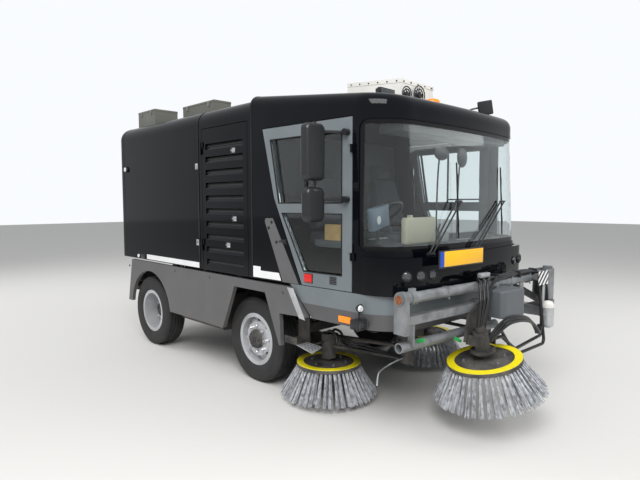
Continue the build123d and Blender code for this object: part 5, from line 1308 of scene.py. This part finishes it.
@dataclass
class Body(Assembly):
    """The engine bay, the hopper, the skirts and the chassis."""

    slots: int = 10
    slot_low: float = 1.062
    slot_pitch: float = 0.125
    slot_high: float = 0.060
    slot_y: tuple[float, float] = (-0.020, 0.600)
    locks: Sequence[tuple[float, float]] = ((0.123, 2.155), (0.115, 1.530), (0.221, 1.280))

    def build(self) -> None:
        """Dresses the body."""
        self.dress(GLOSS_BLACK, "engine_housing", "louvre_door_right", "louvre_door_left", "hopper_shell",
                   "hopper_door")
        self.dress(SKIRT_GREY, "skirt_right", "skirt_left")
        self.dress(BOX_GREY, "roof_boxes")
        self.dress(FRAME_BLACK, "chassis_frame", "front_axle", "rear_axle", "knuckle_right", "knuckle_left",
                   "suction_mouth", "side_tanks", "rear_bumper", "ram_barrels", "body_mounts")
        self.dress(ENGINE_GREY, "engine_block")
        self.dress(CHROME, "ram_rods", "lift_rod")
        for hand in Hand:
            self._louvres(hand)
            self._skirt_trim(hand)
        self._hopper_trim()
        self._rear_door()

    def _louvres(self, hand: Hand) -> None:
        """Builds the mesh in each louvre and the locks of one side door."""
        body = f"louvre_door_{hand.word}"
        out = hand.matrix()
        mesh = Shape()
        for row in range(self.slots):
            z = self.slot_low + row * self.slot_pitch
            mesh.plate([(1.0815, fore(self.slot_y[0] + 0.002), z + 0.004),
                        (1.0815, fore(self.slot_y[1] - 0.002), z + 0.004),
                        (1.0560, fore(self.slot_y[1] - 0.002), z + self.slot_high - 0.004),
                        (1.0560, fore(self.slot_y[0] + 0.002), z + self.slot_high - 0.004)],
                       (-0.003, 0, -0.001))
        self.add(mesh.moved(out), f"louvre_mesh_{hand.word}", MESH_GREY, body)
        tray, paddle = Shape(), Shape()
        for y, z in self.locks:
            tray.block((1.083, fore(y) - 0.040, z - 0.029), (1.0885, fore(y) + 0.040, z + 0.029), 0.004)
            paddle.block((1.0875, fore(y) - 0.032, z - 0.021), (1.0925, fore(y) + 0.014, z + 0.021), 0.003)
            paddle.bar((1.0875, fore(y) + 0.026, z), (1.0920, fore(y) + 0.026, z), 0.009, 20)
        self.add(tray.moved(out), f"lock_trays_{hand.word}", TRIM_BLACK, body)
        self.add(paddle.moved(out), f"lock_paddles_{hand.word}", CHROME, body)

    def _skirt_trim(self, hand: Hand) -> None:
        """Builds the bright strip on a skirt's front edge and its bolts."""
        side = hand.value
        strip = Shape().plate([(side * 1.0852, fore(y), z) for y, z in
                               ((-0.618, 0.980), (-0.695, 0.980), (-0.838, 0.735), (-0.765, 0.745))],
                              (side * 0.0030, 0, 0))
        self.add(strip, f"skirt_strip_{hand.word}", ALUMINIUM)
        bolts = Shape()
        for y, z in ((-0.560, 0.930), (0.560, 0.940), (1.250, 0.940), (2.380, 0.900)):
            bolts.bar((side * 1.0835, fore(y), z), (side * 1.0875, fore(y), z), 0.014, 20)
            bolts.bar((side * 1.0870, fore(y), z), (side * 1.0925, fore(y), z), 0.008, 6)
        self.add(bolts, f"skirt_bolts_{hand.word}", SKIRT_GREY, smooth=30.0)

    def _hopper_trim(self) -> None:
        """Builds the hopper's front gasket, a painted-shade line along the side crease, hinges and the lids
        of the boxes on its roof.
        """
        front = ((0, fore(0.742), 0), (0, 1, 0))
        gasket = Shape().strip(self.nodes["hopper_shell"], [front], 0.0028)
        self.add(gasket, "hopper_gasket", SEAL, "hopper")
        # A thin dark strip is painted along the side panel's crease: painted shade where the panel curves in.
        crease_shade = Shape().block((1.0835, fore(0.765), 2.197), (1.0862, fore(2.395), 2.201), 0.001, segments=1)
        self.add(crease_shade.mirrored(), "hopper_seam", SEAL, "hopper")
        hinges = Shape()
        for z in (2.040, 1.277):
            hinges.block((1.084, fore(0.738), z - 0.030), (1.0905, fore(0.786), z + 0.030), 0.003)
            hinges.bar((1.092, fore(0.762), z - 0.026), (1.092, fore(0.762), z + 0.026), 0.005)
        self.add(hinges.mirrored(), "hopper_hinges", CHROME, "hopper")
        lids = Shape()
        for low, high in (((-0.893, fore(2.007), 2.770), (-0.587, fore(2.443), 2.7948)),
                          ((-0.693, fore(1.037), 2.770), (-0.467, fore(1.703), 2.7948))):
            lids.block(low, high, 0.004)
        self.add(lids, "roof_box_lids", BOX_GREY, "hopper")
        clips = Shape()
        for x, y in ((-0.893, 2.10), (-0.893, 2.35), (-0.693, 1.15), (-0.693, 1.60)):
            clips.block((x - 0.006, fore(y) - 0.012, 2.735), (x + 0.001, fore(y) + 0.012, 2.785), 0.002)
        self.add(clips, "roof_box_clips", GALVANISED, "hopper")

    def _rear_door(self) -> None:
        """Builds the tail door's seal, latches and reflectors."""
        front = ((0, fore(2.462), 0), (0, 1, 0))
        seal = Shape().strip(self.nodes["hopper_door"], [front], 0.0022)
        self.add(seal, "tail_door_seal", SEAL, "hopper_door")
        latches, y = Shape(), fore(2.600)
        for z in (1.22, 1.66):
            latches.block((0.90, y - 0.001, z - 0.045), (0.97, y + 0.012, z + 0.045), 0.004)
            latches.wire([(0.935, y + 0.010, z + 0.03), (0.935, y + 0.030, z + 0.02),
                          (0.935, y + 0.034, z - 0.12)],
                         0.009)
        self.add(latches.mirrored(), "tail_latches", GALVANISED, "hopper_door")
        reds = Shape().bar((0.96, y - 0.001, 1.42), (0.96, y + 0.008, 1.42), 0.036, 28, 0.033)
        self.add(reds.mirrored(), "tail_reflectors", RED_LENS, "hopper_door")
        ribs = Shape()
        for x in (0.0, 0.42):
            ribs.block((x - 0.050, y - 0.004, 1.12), (x + 0.050, y + 0.006, 2.28), 0.005, segments=3)
        ribs.block((-0.20, y - 0.002, 1.035), (0.20, y + 0.014, 1.065), 0.005)
        self.add(ribs.mirrored(), "tail_ribs", GLOSS_BLACK, "hopper_door")


@dataclass
class Boom(Assembly):
    """The third brush's boom and the gear round the nose."""

    pivot: tuple[float, float] = (0.880, -1.950)
    turn: float = -5.2
    tube_z: float = 1.030
    tube_r: float = 0.038
    guard_z: float = 0.685

    def build(self) -> None:
        """Dresses the boom."""
        self.dress(GALVANISED, "boom_arm", "boom_post", "boom_bracket")
        self.dress(FRAME_BLACK, "boom_head", "lift_barrel")
        self.dress(COVER_GREY, "boom_box")
        self.dress(HOSE_BLACK, "boom_hoses")
        self._fittings()
        self._loose_hoses()
        self._hatched_plate()
        self._accumulator()
        self._work_lamp()
        self._brush_guard()
        self._brush_hoses()
        self._arm_hoses()

    def _square(self) -> Matrix:
        """Returns the matrix from the boom's own square layout to the row frame."""
        x, y = self.pivot
        centre = Matrix.Translation((x, fore(y), 0))
        return centre @ turned(self.turn, "Z") @ centre.inverted()

    def _fittings(self) -> None:
        """Builds the tubes' collars, bolts, rusty end and coloured couplings."""
        place, y = self._square(), fore(self.pivot[1])
        collars = Shape()
        for x in (-0.62, 0.22, 0.50):
            collars.lathe([(self.tube_r - 0.002, 0.0), (self.tube_r + 0.006, 0.001),
                           (self.tube_r + 0.006, 0.027),
                           (self.tube_r - 0.002, 0.028)],
                          Matrix.Translation((x, y, self.tube_z)) @ Matrix.Rotation(math.pi / 2, 4, "Y"), 36,
                          True)
            for z in (-1, 1):
                collars.bar((x + 0.014, y - 0.034, self.tube_z + z * 0.036),
                            (x + 0.014, y - 0.034, self.tube_z + z * 0.048), 0.007, 6)
        self.add(collars.moved(place), "boom_collars", GALVANISED, "boom_arm", 30.0)
        end = Shape().bar((-1.1075, y, self.tube_z), (-1.1095, y, self.tube_z), self.tube_r - 0.006, 36)
        self.add(end.moved(place), "boom_tube_end", RUST, "boom_arm")
        green = Shape()
        for x, z in ((-0.47, -0.020), (-0.89, 0.026)):
            green.bar((x, y + 0.012, self.guard_z + z), (x, y - 0.030, self.guard_z + z * 1.6), 0.015, 6)
            green.bar((x, y - 0.018, self.guard_z + z * 1.5), (x, y - 0.044, self.guard_z + z * 1.7), 0.011,
                      16)
        self.add(green.moved(place), "boom_couplings", FITTING_GREEN, "boom_arm", 30.0)
        white = Shape().block((-0.185, y - 0.022, self.tube_z + 0.060),
                              (-0.065, y + 0.022, self.tube_z + 0.098), 0.008)
        white.bar((-0.125, y, self.tube_z + 0.030), (-0.125, y, self.tube_z + 0.070), 0.012)
        self.add(white.moved(place), "boom_pale_fitting", ALUMINIUM, "boom_arm")

    def _loose_hoses(self) -> None:
        """Builds the clamped hoses that run along the top tube and down to the front brush."""
        place, y = self._square(), fore(self.pivot[1])
        hoses = Shape()
        for k in range(3):
            s = 0.016 * k
            hoses.wire([(-0.30 + s, y - 0.105, 0.700), (-0.24 + s, y - 0.100, 0.900),
                        (-0.10 + s, y - 0.050, 1.060 + s),
                        (0.20, y - 0.030 + s, 1.078 + s / 2), (0.50, y - 0.028 + s, 1.086 + s / 2),
                        (0.655, y - 0.060 + s, 1.075), (0.690, y - 0.100 + s, 0.960),
                        (0.680, y - 0.110 + s, 0.820)],
                       0.0095)
            hoses.wire([(-0.29, y - 0.175 + s, 0.640), (-0.20, y - 0.230 + s, 0.760 + s),
                        (0.02, y - 0.225 + s, 0.770 + s),
                        (0.26, y - 0.205 + s, 0.720 + s), (0.44, y - 0.175 + s, 0.600),
                        (0.52, y - 0.130 + s, 0.560),
                        (0.60, y - 0.110 + s, 0.620)], 0.0110)
        self.add(hoses.moved(place), "boom_hose_set", HOSE_BLACK, "boom_arm")
        clips = Shape()
        for x in (0.02, 0.34, 0.60):
            clips.block((x - 0.010, y - 0.050, self.tube_z + 0.020),
                        (x + 0.010, y + 0.030, self.tube_z + 0.078), 0.008)
        self.add(clips.moved(place), "boom_hose_clips", TRIM_BLACK, "boom_arm")

    def _hatched_plate(self) -> None:
        """Builds the hatched warning board on the boom's valve block."""
        place, y = self._square(), fore(self.pivot[1]) - 0.0965
        x_low, x_high, z_low, z_high = 0.530, 0.700, 0.970, 1.090
        board = Shape().block((x_low, y - 0.004, z_low), (x_high, y, z_high), 0.001)
        self.add(board.moved(place), "boom_board", TRIM_BLACK, "boom_arm")
        high = z_high - z_low
        for k in range(5):
            x = x_low - high + 0.012 + k * 0.060
            hatch = Shape().plate([(x, y - 0.0040, z_low), (x + 0.028, y - 0.0040, z_low),
                                   (x + 0.028 + high, y - 0.0040, z_high), (x + high, y - 0.0040, z_high)],
                                  (0, -0.0008, 0))
            hatch.cut([((x_low + 0.002, 0, 0), (-1, 0, 0)), ((x_high - 0.002, 0, 0), (1, 0, 0))])
            self.add(hatch.moved(place), f"boom_board_hatch_{k}", RETRO_WHITE, "boom_arm")

    def _accumulator(self) -> None:
        """Builds the capped cylinder that hangs below the valve block."""
        place, y = self._square(), fore(self.pivot[1]) - 0.135
        body = Shape().lathe([(0.0, 0.600), (0.030, 0.602), (0.045, 0.618), (0.047, 0.640), (0.047, 0.775),
                              (0.0, 0.775)], Matrix.Translation((0.645, y, 0)), 36)
        body.block((0.625, y + 0.040, 0.680), (0.665, y + 0.052, 1.020), 0.003)
        body.lathe([(0.0465, 0.700), (0.0505, 0.701), (0.0505, 0.722), (0.0465, 0.723)],
                   Matrix.Translation((0.645, y, 0)), 36, True)
        self.add(body.moved(place), "boom_cylinder", ALUMINIUM, "boom_arm")
        cap = Shape().lathe([(0.0, 0.832), (0.020, 0.831), (0.036, 0.822), (0.0475, 0.800), (0.0485, 0.774),
                             (0.0, 0.774)], Matrix.Translation((0.645, y, 0)), 36)
        self.add(cap.moved(place), "boom_cylinder_cap", COOLER_WHITE, "boom_arm")

    def _work_lamp(self) -> None:
        """Builds the caged lamps at the bumper's corners and the white marks on their stalks."""
        cage, lens, disc = Shape(), Shape(), Shape()
        x, y, z = 1.105, fore(-1.420), 0.808
        cage.block((x - 0.050, y - 0.040, z - 0.036), (x + 0.045, y + 0.045, z + 0.036), 0.010, segments=3)
        cage.block((0.985, y + 0.010, z - 0.012), (x - 0.040, y + 0.045, z + 0.012), 0.003)
        lens.block((x - 0.042, y - 0.047, z - 0.028), (x + 0.037, y - 0.038, z + 0.028), 0.005)
        for step in range(4):
            across = x - 0.046 + step * 0.029
            cage.wire([(across, y, z + 0.044), (across, y - 0.060, z + 0.042), (across, y - 0.060, z - 0.042),
                       (across, y, z - 0.044)], 0.0028)
        for height in (-0.024, 0.024):
            cage.wire([(x - 0.054, y + 0.01, z + height), (x - 0.052, y - 0.052, z + height),
                       (x + 0.048, y - 0.052, z + height), (x + 0.050, y + 0.01, z + height)], 0.0028)
        cage.bar((x - 0.030, y + 0.020, z + 0.030), (x - 0.030, y + 0.020, z + 0.085), 0.006)
        disc.bar((x - 0.030, y + 0.010, z + 0.108), (x - 0.030, y - 0.004, z + 0.108), 0.025, 32, 0.019)
        cage.bar((x - 0.030, y + 0.034, z + 0.108), (x - 0.030, y + 0.009, z + 0.108), 0.022, 32, 0.034)
        self.add(cage.mirrored(), "work_lamps", TRIM_BLACK)
        self.add(lens.mirrored(), "work_lamp_lenses", CLEAR_LENS)
        self.add(disc.mirrored(), "work_lamp_marks", RETRO_WHITE)

    def _brush_guard(self) -> None:
        """Builds the pierced plate beside the right side brush, with its bracket and holes."""
        z = 0.500
        outline = [(-1.034, fore(-0.621), z), (-0.930, fore(-0.610), z), (-0.944, fore(-0.896), z),
                   (-1.128, fore(-0.963), z)]
        guard = Shape().plate(outline, (0, 0, 0.004))
        edges = [e for e in guard.mesh.edges if abs(e.verts[0].co.z - e.verts[1].co.z) > 0.001]
        bmesh.ops.bevel(guard.mesh, geom=edges, offset=0.018, offset_type="OFFSET", segments=4, profile=0.5,
                        affect="EDGES", material=-1)
        self.add(guard, "brush_guard", ALUMINIUM, "brush_arm_right")
        holes = Shape()
        for row in range(7):
            for column in range(3 if row < 4 else 4):
                x, y = -0.962 - 0.032 * column, fore(-0.655 - 0.040 * row)
                holes.bar((x, y, z + 0.0035), (x, y, z + 0.0046), 0.0085, 14)
        self.add(holes, "brush_guard_holes", SEAL, "brush_arm_right")
        bracket = Shape().wire([(-0.780, fore(-0.755), z - 0.010), (-0.860, fore(-0.760), z - 0.008),
                                (-0.990, fore(-0.765), z - 0.006)], 0.009)
        bracket.block((-1.010, fore(-0.780), z - 0.010), (-0.945, fore(-0.745), z), 0.002)
        self.add(bracket, "brush_guard_bracket", FRAME_BLACK, "brush_arm_right")

    def _arm_hoses(self) -> None:
        """Builds the hoses and the bent rod along each side brush's arms."""
        for hand in Hand:
            side = hand.value
            hoses = Shape()
            for k in range(3):
                s = 0.020 * k
                hoses.wire([(side * (0.700 + s), fore(-0.820), 0.560),
                            (side * (0.810 - s), fore(-1.000), 0.500 + s),
                            (side * (0.800 - s), fore(-1.200), 0.505 + s),
                            (side * (0.770 - s), fore(-1.380), 0.510),
                            (side * (0.750 - s), fore(-1.520), 0.505)], 0.0095)
            self.add(hoses, f"arm_hoses_{hand.word}", HOSE_BLACK, f"brush_arm_{hand.word}")
            rod = Shape().wire([(side * 0.690, fore(-1.500), 0.490), (side * 0.560, fore(-1.310), 0.385),
                                (side * 0.700, fore(-1.300), 0.350), (side * 0.738, fore(-1.300), 0.320),
                                (side * 0.743, fore(-1.300), 0.235)], 0.0070)
            self.add(rod, f"arm_rod_{hand.word}", ALUMINIUM, f"brush_arm_{hand.word}")

    def _brush_hoses(self) -> None:
        """Builds the hoses and two short stubs over each side brush's motor."""
        for hand in Hand:
            side = hand.value
            hoses = Shape()
            for shift in (-0.035, 0.035):
                hoses.wire([(side * (0.735 + shift), fore(-0.755), 0.545),
                            (side * (0.735 + shift), fore(-0.775), 0.590),
                            (side * (0.730 + shift), fore(-0.835), 0.590),
                            (side * (0.720 + shift), fore(-0.870), 0.560),
                            (side * (0.715 + shift), fore(-0.885), 0.500)], 0.011)
            hoses.bar((side * 0.700, fore(-0.755), 0.535), (side * 0.700, fore(-0.755), 0.565), 0.015, 6)
            hoses.bar((side * 0.770, fore(-0.755), 0.535), (side * 0.770, fore(-0.755), 0.565), 0.015, 6)
            self.add(hoses, f"brush_hoses_{hand.word}", HOSE_BLACK, f"brush_arm_{hand.word}")


@dataclass
class Studio:
    """Floor, light and the camera at the photograph's view."""

    eye: Sequence[float] = (-3.8379, -3.8285 + FRONT_AXLE_Y, 1.6813)
    turn: float = -44.3069
    tilt: float = 4.2065
    roll: float = -0.0726
    focal_px: float = 514.986
    frame_px: float = 640.0
    sensor: float = 36.0
    floor_half: float = 40.0
    lamps: Sequence[tuple[Sequence[float], float, float, bool]] = field(
        default_factory=lambda: (((-5.5, -4.5, 7.0), 5.0, 700.0, True), ((5.0, -6.0, 6.0), 6.0, 340.0, False),
                                 ((-3.0, 7.0, 6.5), 6.0, 340.0, False)))

    def build(self) -> None:
        """Makes the floor, the lamps, the world and the camera."""
        self._floor()
        self._world()
        for place, size, power, mirrored in self.lamps:
            self._lamp(Vector(place), size, power, mirrored)
        self._camera()
        bpy.context.scene.view_settings.view_transform = "Standard"

    @staticmethod
    def _seen_directly(tree: bpy.types.NodeTree) -> bpy.types.NodeSocket:
        """Returns a socket that is 1 for camera and transmission rays."""
        path = wired(tree, "LightPath", {}).outputs
        seen = wired(tree, "Math", {0: path["Is Camera Ray"], 1: path["Is Transmission Ray"]},
                     operation="MAXIMUM")
        return seen.outputs[0]

    def _floor(self) -> None:
        """Makes the pale floor."""
        floor = Shape()
        bmesh.ops.create_grid(floor.mesh, x_segments=1, y_segments=1, size=self.floor_half)
        piece = floor.finish("floor")
        piece.data.materials.append(plain_material("floor", {"Base Color": (0.62, 0.61, 0.59, 1.0),
                                                             "Roughness": 0.85}))

    def _world(self) -> None:
        """Makes the world white to the camera and soft to the object."""
        world = bpy.data.worlds.new("studio")
        world.use_nodes = True
        bpy.context.scene.world = world
        tree = world.node_tree
        background = tree.nodes["Background"]
        background.inputs["Color"].default_value = (0.95, 0.97, 1.0, 1.0)
        strength = wired(tree, "MapRange",
                         {"To Min": 0.62, "To Max": 1.0, "Value": self._seen_directly(tree)})
        tree.links.new(strength.outputs["Result"], background.inputs["Strength"])

    @staticmethod
    def _lamp(place: Vector, size: float, power: float, mirrored: bool) -> None:
        """Hangs one soft lamp that looks at the machine's middle.

        Args:
            place: where it hangs.
            size: its side length.
            power: its power in watts.
            mirrored: whether it shows in polished surfaces.
        """
        lamp = bpy.data.lights.new("lamp", "AREA")
        lamp.size = size
        lamp.energy = power
        holder = bpy.data.objects.new("lamp", lamp)
        holder.location = place
        holder.visible_glossy = mirrored
        holder.rotation_euler = (Vector((0, 0, 1.0)) - place).to_track_quat("-Z", "Y").to_euler()
        bpy.context.scene.collection.objects.link(holder)

    def _camera(self) -> None:
        """Sets the camera where the photograph was taken."""
        a, p, r = (math.radians(v) for v in (self.turn, self.tilt, self.roll))
        forward = Vector((-math.sin(a) * math.cos(p), math.cos(a) * math.cos(p), -math.sin(p)))
        right = Vector((math.cos(a), math.sin(a), 0.0))
        up = right.cross(forward)
        side = right * math.cos(r) + up * math.sin(r)
        top = up * math.cos(r) - right * math.sin(r)
        data = bpy.data.cameras.new("camera")
        data.sensor_width = self.sensor
        data.lens = self.focal_px / self.frame_px * self.sensor
        camera = bpy.data.objects.new("camera", data)
        matrix = Matrix((side, top, -forward)).transposed().to_4x4()
        matrix.translation = Vector(self.eye)
        camera.matrix_world = matrix
        bpy.context.scene.collection.objects.link(camera)
        bpy.context.scene.camera = camera


def main(frame: dict) -> None:
    """Builds and dresses every assembly.
    """
    logging.basicConfig(level=logging.INFO, format="%(message)s")
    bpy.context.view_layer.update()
    paint = PaintShop()
    assemblies: list[Callable[[PaintShop, dict], Assembly]] = [Wheels, Brushes, Cab, Cabin, Lights, Roof,
                                                               Body, Boom]
    Studio().build()
    for make in assemblies:
        make(paint, frame["nodes"]).build()


if __name__ == "__main__":
    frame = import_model()
    main(frame)
